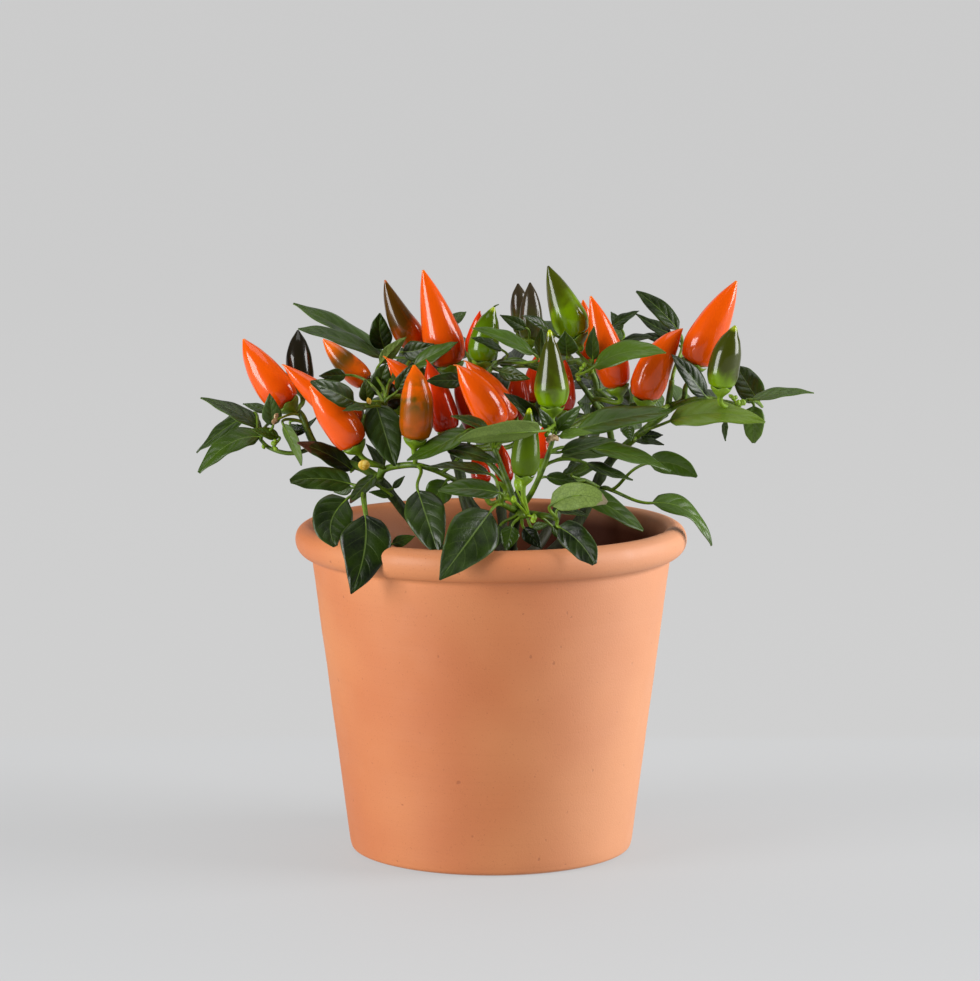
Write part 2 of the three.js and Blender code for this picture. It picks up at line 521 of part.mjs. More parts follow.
/** Solid of points and triangles. */
const solid = (positions, tris) => new wasm.Manifold(new wasm.Mesh({
  numProp: 3, vertProperties: new Float32Array(positions), triVerts: new Uint32Array(tris) }));

/** Solid of a closed three.js geometry. */
function solidOf(geometry) {
  geometry.deleteAttribute('normal');
  geometry.deleteAttribute('uv');
  const merged = mergeVertices(geometry);
  const tris = [];
  for (let i = 0; i < merged.index.count; i += 3) {
    const [a, b, c] = merged.index.array.slice(i, i + 3);
    if (a !== b && b !== c && c !== a) tris.push(a, b, c);
  }
  return solid(merged.attributes.position.array, tris);
}

/** Solid turned about the z axis from a profile of [radius, height]. */
function turned(profile, sides) {
  const points = profile.map(([radius, height]) => new THREE.Vector2(radius, height));
  return solidOf(new THREE.LatheGeometry(points, sides).rotateX(Math.PI / 2));
}

/** Upright cylinder between two heights about (x, y). */
function post(radius, bottom, top, x, y) {
  const geometry = new THREE.CylinderGeometry(radius, radius, top - bottom, HOLE_SIDES);
  return solidOf(geometry.rotateX(Math.PI / 2).translate(x, y, (bottom + top) / 2));
}

/** Skin a row of equal rings, counter-clockwise about the way they run, into a closed solid. */
function loft(rings, flips = []) {
  const n = rings[0].length;
  const last = (rings.length - 1) * n;
  const tris = [];
  for (let i = 0; i < last; i += n) {
    for (let k = 0; k < n; k += 1) {
      const a = i + k;
      const b = i + (k + 1) % n;
      tris.push(...(flips[k] ? [a, b, a + n, b, b + n, a + n] : [a, b, b + n, a, b + n, a + n]));
    }
  }
  for (let k = 1; k < n - 1; k += 1) tris.push(0, k + 1, k, last, last + k, last + k + 1);
  return solid(rings.flat().flatMap((p) => [p.x, p.y, p.z]), tris);
}

/** Rings of the given radii about a row of points, without twist. */
function ringsAbout(points, radii, sides) {
  let u = Math.abs(runAt(points, 0).z) < PETIOLE_FLATNESS ? UP : FRONT;
  return points.map((p, i) => {
    const run = runAt(points, i);
    u = square(u, run);
    const w = run.clone().cross(u);
    return Array.from({ length: sides }, (_, k) => {
      const turn = 2 * Math.PI * k / sides;
      const offset = u.clone().multiplyScalar(Math.cos(turn)).addScaledVector(w, Math.sin(turn));
      return p.clone().addScaledVector(offset, radii[i]);
    });
  });
}

/** Tapered round twig along points. grow makes the fatter body that others are cut clear of. */
function twigSolid(points, [from, to], sides, grow = 0) {
  const last = points.length - 1;
  const line = points.map((p) => p.clone());
  line[0].addScaledVector(runAt(points, 0), -grow);
  line[last].addScaledVector(runAt(points, last), grow);
  return loft(ringsAbout(line, line.map((_, i) => from + (to - from) * i / last + grow), sides));
}

/** Spine, facing and width of a leaf row that is moved back. */
function bladeOf(row, back) {
  const tip = placeBack(row.tip, back);
  const base = placeBack(row.base, back);
  const run = tip.clone().sub(base);
  const length = run.length();
  run.normalize();
  const width = row.wide ?? Math.max(BLADE_RATIO * length, row.shown);
  const facing = square(towardsEye(base), run);
  const across = run.clone().cross(facing);
  const lean = row.wide ? 0 : Math.acos(row.shown / width);
  const [one, other] = [lean, -lean].map((turn) => (
    facing.clone().multiplyScalar(Math.cos(turn)).addScaledVector(across, Math.sin(turn))));
  const [higher, lower] = one.z > other.z ? [one, other] : [other, one];
  const normal = row.under ? lower.negate() : higher;
  const middle = row.mid ? placeBack(row.mid, back)
    : tip.clone().add(base).multiplyScalar(0.5).addScaledVector(normal, BLADE_ARCH * length);
  return { spine: bow(base, middle, tip), normal, width, full: row.full };
}

/** Point beside a spine: half is the half width there, j the side share, rise the lift. */
function besideSpine(p, run, normal, j, half, rise, fold) {
  const up = square(normal, run);
  const side = up.clone().cross(run);
  return p.clone().addScaledVector(side, j * half * Math.cos(fold))
    .addScaledVector(up, Math.abs(j) * half * Math.sin(fold) + rise);
}

/** Leaf in one piece: stalk from a start point, then the thin blade, keeled if it is wide. */
function leafSolid(blade, start, leave, grow = 0) {
  const keeled = blade.width > KEELED_FROM;
  const corners = keeled ? [[0, 1], [-1, 1], [-1, -1], [0, -1], [1, -1], [1, 1]]
    : [[-1, 1], [-1, -1], [1, -1], [1, 1]];
  const section = (p, run, half, lift, fold) => (
    corners.map(([j, face]) => besideSpine(p, run, blade.normal, j, half, face * lift, fold)));
  const [base, way] = [blade.spine.getPoint(0), blade.spine.getTangent(0)];
  const stalk = arc(start, leave, base, way, keeled ? STALK_STEPS : 1);
  const stalkRings = stalk.map((p, i) => (
    section(p, runAt(stalk, i), PETIOLE_RADIUS + grow, PETIOLE_RADIUS * PETIOLE_FLATNESS + grow, 0)));
  const outline = outlineOf(keeled ? BLADE_OUTLINE : SMALL_OUTLINE, blade.full);
  const bladeRings = outline.slice(1).map(([t, share]) => {
    const half = Math.max(LEAST_HALF, share * blade.width / 2) + grow;
    return section(blade.spine.getPoint(t), blade.spine.getTangent(t), half, BLADE_THICKNESS / 2 + grow,
      keeled ? BLADE_FOLD : 0);
  });
  return loft([...stalkRings, ...bladeRings], keeled ? KEELED_FLIPS : FLAT_FLIPS);
}

/** Axis of a pepper row that is moved back, bowed sideways as seen from the eye. */
function fruitAxis(row, back) {
  const tip = placeBack(row.tip, back);
  const base = placeBack(row.base, back);
  const run = tip.clone().sub(base).normalize();
  const side = run.clone().cross(square(towardsEye(base), run));
  return bow(base, tip.clone().add(base).multiplyScalar(0.5).addScaledVector(side, row.bend), tip);
}

/** Conical pepper with a rounded shoulder. */
function fruitSolid(row, axis, grow = 0) {
  const outline = outlineOf(FRUIT_OUTLINE, row.full);
  const points = outline.map(([t]) => axis.getPoint(t));
  points[0].addScaledVector(axis.getTangent(0), -grow);
  points.at(-1).addScaledVector(axis.getTangent(1), grow);
  const radii = outline.map(([, share]) => share * row.width / 2 + grow);
  return loft(ringsAbout(points, radii, row.width > PLUMP_FROM ? FRUIT_SIDES : FRUIT_SIDES - 1));
}

/** Where a pepper's calyx narrows into its pedicel. */
const calyxFoot = (axis) => axis.getPoint(0).addScaledVector(axis.getTangent(0), -CALYX_HEIGHT);

/** Pedicel from a twig up to its pepper, opening into the calyx just under the fruit. */
function pedicelSolid(row, axis, start, leave, grow = 0) {
  const way = axis.getTangent(0);
  const foot = calyxFoot(axis);
  const stalk = arc(start, leave, foot, way, start.distanceTo(foot) > LONG_PEDICEL ? STALK_STEPS : 1);
  const flare = CALYX_FLARE.map(([up]) => foot.clone().addScaledVector(way, up * (CALYX_HEIGHT - GAP)));
  const radii = [
    ...stalk.map(() => PEDICEL_RADIUS),
    ...CALYX_FLARE.map(([, share]) => share * CALYX_RATIO * row.width / 2),
  ];
  return loft(ringsAbout([...stalk, ...flare], radii.map((r) => r + grow), PEDICEL_SIDES));
}

/** Samples over a blade: where each is seen, its depth, and how thick the blade is there. */
function bladeSamples(row, back) {
  const { spine, normal, width, full } = bladeOf(row, back);
  const outline = outlineOf(BLADE_OUTLINE, full);
  const samples = [];
  for (let i = 1; i < SAMPLES; i += 1) {
    const t = i / SAMPLES;
    const half = shareAt(outline, t) * width / 2;
    for (const j of SIDE_SHARES) {
      const p = besideSpine(spine.getPoint(t), spine.getTangent(t), normal, j, half, 0, BLADE_FOLD);
      samples.push({ at: seen(p), y: p.y, thick: BLADE_THICKNESS / 2 });
    }
  }
  return samples;
}

/** Samples over a pepper, alike. */
function fruitSamples(row, back) {
  const axis = fruitAxis(row, back);
  const outline = outlineOf(FRUIT_OUTLINE, row.full);
  const samples = [];
  for (let i = 0; i <= SAMPLES; i += 1) {
    const p = axis.getPoint(i / SAMPLES);
    const radius = shareAt(outline, i / SAMPLES) * row.width / 2;
    const [across, down] = seen(p);
    for (const j of SIDE_SHARES) {
      const at = [across + j * radius * EYE.focal / EYE.distance, down];
      samples.push({ at, y: p.y, thick: radius * Math.sqrt(1 - j * j) });
    }
  }
  return samples;
}

const touching = (a, b) => Math.abs(a.at[0] - b.at[0]) < NEAR && Math.abs(a.at[1] - b.at[1]) < NEAR
  && Math.abs(a.y - b.y) < a.thick + b.thick + CLEAR;

/**
 * How far back each row stands. Nearest to the eye first, each blade and pepper is stepped back
 * along its sight line until it is clear of the limbs and of all that was placed before it.
 */
function settle() {
  const standing = LIMBS.flatMap((limb) => (
    curveThrough(limb.line, FINE_STEPS).map((p) => ({ at: seen(p), y: p.y, thick: limb.radius[0] }))));
  const depth = (row) => row.tip[2] + row.base[2];
  const blades = Object.values(SPRAYS).flatMap((spray) => spray.leaves);
  const queue = [
    ...PEPPERS.map((row) => ({ row, sample: fruitSamples })),
    ...blades.map((row) => ({ row, sample: bladeSamples })),
  ].sort((a, b) => depth(a.row) - depth(b.row));
  const backs = new Map();
  for (const { row, sample } of queue) {
    let best = { hits: Infinity };
    for (let step = 0; step <= MOST_STEPS && best.hits > 0; step += 1) {
      const samples = sample(row, step * STEP_BACK);
      const hits = samples.filter((a) => standing.some((b) => touching(a, b))).length;
      if (hits < best.hits) best = { hits, samples, back: step * STEP_BACK };
    }
    standing.push(...best.samples);
    backs.set(row, best.back);
  }
  return backs;
}

/** Nearest point of some rows of points to a target, preferring points below it, and the run there. */
function nearest(lines, target) {
  let best = { cost: Infinity };
  for (const line of lines) {
    line.forEach((point, i) => {
      const cost = point.distanceTo(target) + Math.max(0, point.z - target.z);
      if (cost < best.cost) best = { cost, point, run: runAt(line, i) };
    });
  }
  return best;
}

/** Direction in which a stalk leaves its twig: half along the twig, half straight to its target. */
const leaving = (start, target) => target.clone().sub(start.point).normalize().add(start.run).normalize();

/** Several solids as one. */
const join = (solids) => solids.reduce((a, b) => a.add(b));

/** Largest body of a solid: scraps that a cut leaves loose are dropped. */
const largest = (body) => body.decompose().sort((a, b) => b.volume() - a.volume())[0];

/** A joined solid without its scraps and without the finest facets along its joints. */
const plain = (body) => largest(largest(body).asOriginal().simplify(FINEST));

/** Whether the boxes of two solids meet. */
function boxesMeet(a, b) {
  const p = a.boundingBox();
  const q = b.boundingBox();
  return [0, 1, 2].every((k) => p.min[k] < q.max[k] && q.min[k] < p.max[k]);
}

/** A solid cut clear of every cutter whose box it meets. */
const cutClear = (body, cutters) => (
  cutters.reduce((rest, cutter) => (boxesMeet(body, cutter) ? rest.subtract(cutter) : rest), body));

/** Terracotta pot with its drain holes. */
function potSolid() {
  const holes = Array.from({ length: DRAIN_HOLES }, (_, i) => {
    const turn = 2 * Math.PI * (i + 0.25) / DRAIN_HOLES;
    const [x, y] = [DRAIN_CIRCLE * Math.cos(turn), DRAIN_CIRCLE * Math.sin(turn)];
    return post(DRAIN_RADIUS, -THROUGH, POT_WALL.at(-1)[1] + THROUGH, x, y);
  });
  return turned(POT_WALL, POT_SIDES).subtract(join(holes));
}

/** The pot's rolled lip grown by the gap, which keeps foliage off it. */
function lipCutter() {
  const rows = POT_WALL.slice(...LIP_ROWS);
  const crest = rows.findIndex(([, height]) => height === Math.max(...rows.map((row) => row[1])));
  const grown = rows.map(([radius, height], i) => (
    [radius + GAP * Math.sign(crest - i), height + (i === crest ? GAP : 0)]));
  return turned([...grown, grown[0]], POT_SIDES);
}

/** Soil filling the pot, with the hole that the trunk's root stands in. */
function soilSolid(root) {
  const [[topRadius, topHeight], [footRadius, footHeight]] = POT_WALL.slice(-4, -2);
  const wallAt = (z) => footRadius + (topRadius - footRadius) * (z - footHeight) / (topHeight - footHeight);
  const low = footHeight + WALL_GAP;
  const profile = [
    [0, SOIL_BOTTOM], [POT_WALL.at(-2)[0] - WALL_GAP, SOIL_BOTTOM], [wallAt(low) - WALL_GAP * 2, low],
    [wallAt(SOIL_TOP - SOIL_EDGE) - WALL_GAP, SOIL_TOP - SOIL_EDGE], [SOIL_CROWN, SOIL_TOP], [0, SOIL_TOP],
  ];
  const hole = post(LIMBS[0].radius[0] + GAP, root.z - GAP, SOIL_TOP + THROUGH, root.x, root.y);
  return turned(profile, POT_SIDES).subtract(hole);
}

/** Every limb, joined into the stem, or their grown bodies. */
const stemSolid = (grow = 0) => join(LIMBS.map((limb) => (
  twigSolid(curveThrough(limb.line, limb.line.length + 2), limb.radius, LIMB_SIDES, grow))));

/** Pieces of a spray: its twigs, leaves with stalks, and pedicels with calyxes. */
function sprayPieces(name, fruits, backs, grow = 0) {
  const { twigs, leaves } = SPRAYS[name];
  const fine = twigs.map((twig) => curveThrough(twig.line, FINE_STEPS));
  return [
    ...twigs.map(({ line, radius }) => (
      twigSolid(curveThrough(line, 2 * line.length - 3), radius, TWIG_SIDES, grow))),
    ...leaves.map((row) => {
      const blade = bladeOf(row, backs.get(row));
      const base = blade.spine.getPoint(0);
      const start = nearest(fine, row.from ? place(row.from) : base);
      return leafSolid(blade, start.point, leaving(start, base), grow);
    }),
    ...fruits.filter(({ row }) => row.on === name).map(({ row, axis }) => {
      const foot = calyxFoot(axis);
      const start = nearest(fine, foot);
      return pedicelSolid(row, axis, start.point, leaving(start, foot), grow);
    }),
  ];
}

/** Mesh of a solid in its own plain material, with its origin at the given point. */
function toMesh(name, body, color, roughness, origin = new THREE.Vector3()) {
  const { vertProperties, triVerts } = body.getMesh();
  const geometry = new THREE.BufferGeometry();
  geometry.setAttribute('position', new THREE.BufferAttribute(new Float32Array(vertProperties), 3));
  geometry.setIndex(new THREE.BufferAttribute(new Uint32Array(triVerts), 1));
  geometry.translate(-origin.x, -origin.y, -origin.z);
  geometry.computeVertexNormals();
  const mesh = new THREE.Mesh(geometry, new THREE.MeshStandardMaterial({ color, roughness, metalness: 0 }));
  mesh.name = name;
  mesh.position.copy(origin);
  return mesh;
}

const backs = settle();
const fruits = PEPPERS.map((row) => ({ row, axis: fruitAxis(row, backs.get(row)) }));

const holder = new THREE.Group();
holder.add(toMesh('pot', potSolid(), COLOURS.pot, MATT));
holder.add(toMesh('soil', soilSolid(place(LIMBS[0].line[0])), COLOURS.soil, MATT));

const foliage = new THREE.Group();
foliage.add(toMesh('stem', plain(stemSolid()), COLOURS.stem, LEAFY));
const cutters = [stemSolid(GAP), lipCutter(), ...fruits.map(({ row, axis }) => fruitSolid(row, axis, GAP))];
for (const name of Object.keys(SPRAYS)) {
  const whole = join(sprayPieces(name, fruits, backs));
  foliage.add(toMesh(`spray_${name}`, plain(cutClear(whole, cutters)), COLOURS.spray, LEAFY));
  cutters.push(...sprayPieces(name, fruits, backs, GAP));
}

const crop = new THREE.Group();
fruits.forEach(({ row, axis }, i) => {
  const name = `pepper_${String(i + 1).padStart(2, '0')}`;
  crop.add(toMesh(name, fruitSolid(row, axis), COLOURS[row.tone], GLOSSY, axis.getPoint(0)));
});

const plant = new THREE.Group();
plant.add(holder, foliage, crop);

export default plant;
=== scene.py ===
"""Potted ornamental chilli pepper plant: pot, soil, stem, leafy sprays, peppers and a plain studio.

Shapes are worked out in millimetres, +Z up, with the origin on the pot's axis at its underside
and the front towards -Y, and are put into meshes in metres.
"""

from __future__ import annotations

import logging
import math
from dataclasses import dataclass, field
from enum import Enum
from typing import Sequence, Union

import bpy
import numpy as np
from numpy.typing import NDArray
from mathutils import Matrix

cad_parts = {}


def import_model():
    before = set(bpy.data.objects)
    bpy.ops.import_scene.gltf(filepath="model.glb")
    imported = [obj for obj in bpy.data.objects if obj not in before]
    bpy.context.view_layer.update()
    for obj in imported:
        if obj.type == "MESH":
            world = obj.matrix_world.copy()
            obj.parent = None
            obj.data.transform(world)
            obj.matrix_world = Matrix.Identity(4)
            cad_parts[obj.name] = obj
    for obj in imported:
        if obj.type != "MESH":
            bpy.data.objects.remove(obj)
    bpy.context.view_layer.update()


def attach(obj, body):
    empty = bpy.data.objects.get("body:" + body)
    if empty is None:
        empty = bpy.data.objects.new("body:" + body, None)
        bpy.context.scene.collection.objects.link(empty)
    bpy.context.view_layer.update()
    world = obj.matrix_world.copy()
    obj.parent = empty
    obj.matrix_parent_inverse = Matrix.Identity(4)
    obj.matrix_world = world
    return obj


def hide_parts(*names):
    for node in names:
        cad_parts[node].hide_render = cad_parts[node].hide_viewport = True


LOG = logging.getLogger("pepper_plant")

Array = NDArray[np.float64]
Place = tuple[float, float, float]
Band = tuple[float, float]
Colour = tuple[float, float, float, float]
Material = bpy.types.Material
Socket = bpy.types.NodeSocket
Solid = bpy.types.Object
Value = Union[float, tuple, Socket]

MM = 0.001
UP = np.array((0.0, 0.0, 1.0))
FRONT = np.array((0.0, -1.0, 0.0))
SIDE = np.array((1.0, 0.0, 0.0))


def tint(code: str) -> Colour:
    """Colour of a six-digit code, as linear light.

    Args:
        code: Red, green and blue as two hexadecimal digits each.

    Returns:
        Linear red, green, blue and full alpha.
    """
    shares = [int(code[i:i + 2], 16) / 255 for i in (0, 2, 4)]
    red, green, blue = (s / 12.92 if s <= 0.04045 else ((s + 0.055) / 1.055) ** 2.4
                        for s in shares)
    return red, green, blue, 1.0


class Tone(Enum):
    """How ripe a pepper is, by the name that its material is given."""

    ORANGE = "pepper_orange"
    AMBER = "pepper_amber"
    RED = "pepper_red"
    BROWN = "pepper_brown"
    GREEN = "pepper_green"
    DARK_GREEN = "pepper_dark_green"
    PALE_GREEN = "pepper_pale_green"
    OLIVE = "pepper_olive"
    BLACK = "pepper_black"


class Finish(Enum):
    """Finishes on a spray, in the order of its materials."""

    LEAF = 0
    SHOOT = 1
    PETAL = 2
    WITHERED = 3


@dataclass(frozen=True)
class Twig:
    """A woody length: radius at both ends and the places it passes."""

    radius: tuple[float, float]
    line: tuple[Place, ...]


@dataclass(frozen=True)
class Leaf:
    """A leaf: the tip and base of its blade, its width as seen, and how full its outline is.

    It may also have a place that its midrib passes, one where its stalk starts, a true width if it
    faces the eye, and an underside that shows.
    """

    tip: Place
    base: Place
    shown: float = 0.0
    full: float = 0.0
    mid: Place | None = None
    start: Place | None = None
    wide: float | None = None
    under: bool = False


@dataclass(frozen=True)
class Spray:
    """Twigs and leaves that grow from one limb."""

    twigs: tuple[Twig, ...]
    leaves: tuple[Leaf, ...]


@dataclass(frozen=True)
class Pepper:
    """A pepper: its spray, tip and base, thickness, sideways bow, fullness and ripeness."""

    on: str
    tip: Place
    base: Place
    width: float
    bend: float
    full: float
    tone: Tone


@dataclass(frozen=True)
class Bud:
    """Buds or a spent flower: the spray, the place, size in mm, how many, and the finish.

    One with a root of its own leaves its twig there and looks the way that its stalk runs.
    """

    on: str
    at: Place
    size: float
    count: int
    finish: Finish
    root: Place | None = None


@dataclass(frozen=True)
class Mark:
    """What sets a leaf's face apart: its lightness, and from which share on it is dry."""

    light: float
    dry_from: float = 2.0


# A place is (across, down, depth): the first two on a flat sheet seen from the eye, in units of
# the sheet, the third its y in mm.
LIMBS: tuple[Twig, ...] = (
    Twig((3.4, 2.8), ((505, 632, 0), (505, 592, 0), (508, 572, -1), (510, 548, -5))),
    Twig((2.6, 2), ((508, 575, -1), (511, 548, -14), (514, 528, -30), (518, 512, -46))),
    Twig((2.7, 2.1), ((505, 583, 0), (478, 568, -3), (436, 546, -10), (405, 512, -18),
        (379, 479, -26))),
    Twig((2.7, 1.9), ((506, 581, 0), (540, 562, 3), (569, 534, 7), (586, 509, 9), (598, 481, 8),
        (611, 460, 6), (624, 447, 4))),
    Twig((2.4, 1.6), ((509, 560, -2), (484, 525, 10), (464, 490, 14), (455, 455, 14),
        (442, 415, 14), (430, 388, 14))),
    Twig((2.4, 1.6), ((510, 556, -3), (516, 510, 10), (528, 455, 16), (540, 405, 12),
        (549, 372, 8))),
    Twig((2.5, 1.7), ((505, 578, 2), (482, 545, 26), (464, 500, 40), (457, 455, 48), (440, 420, 56),
        (425, 400, 62))),
    Twig((2.5, 1.7), ((507, 578, 3), (504, 540, 34), (500, 492, 60), (498, 450, 76))),
    Twig((2.5, 1.7), ((509, 576, 2), (542, 540, 28), (562, 500, 42), (574, 465, 50), (586, 430, 56),
        (596, 405, 60))),
)

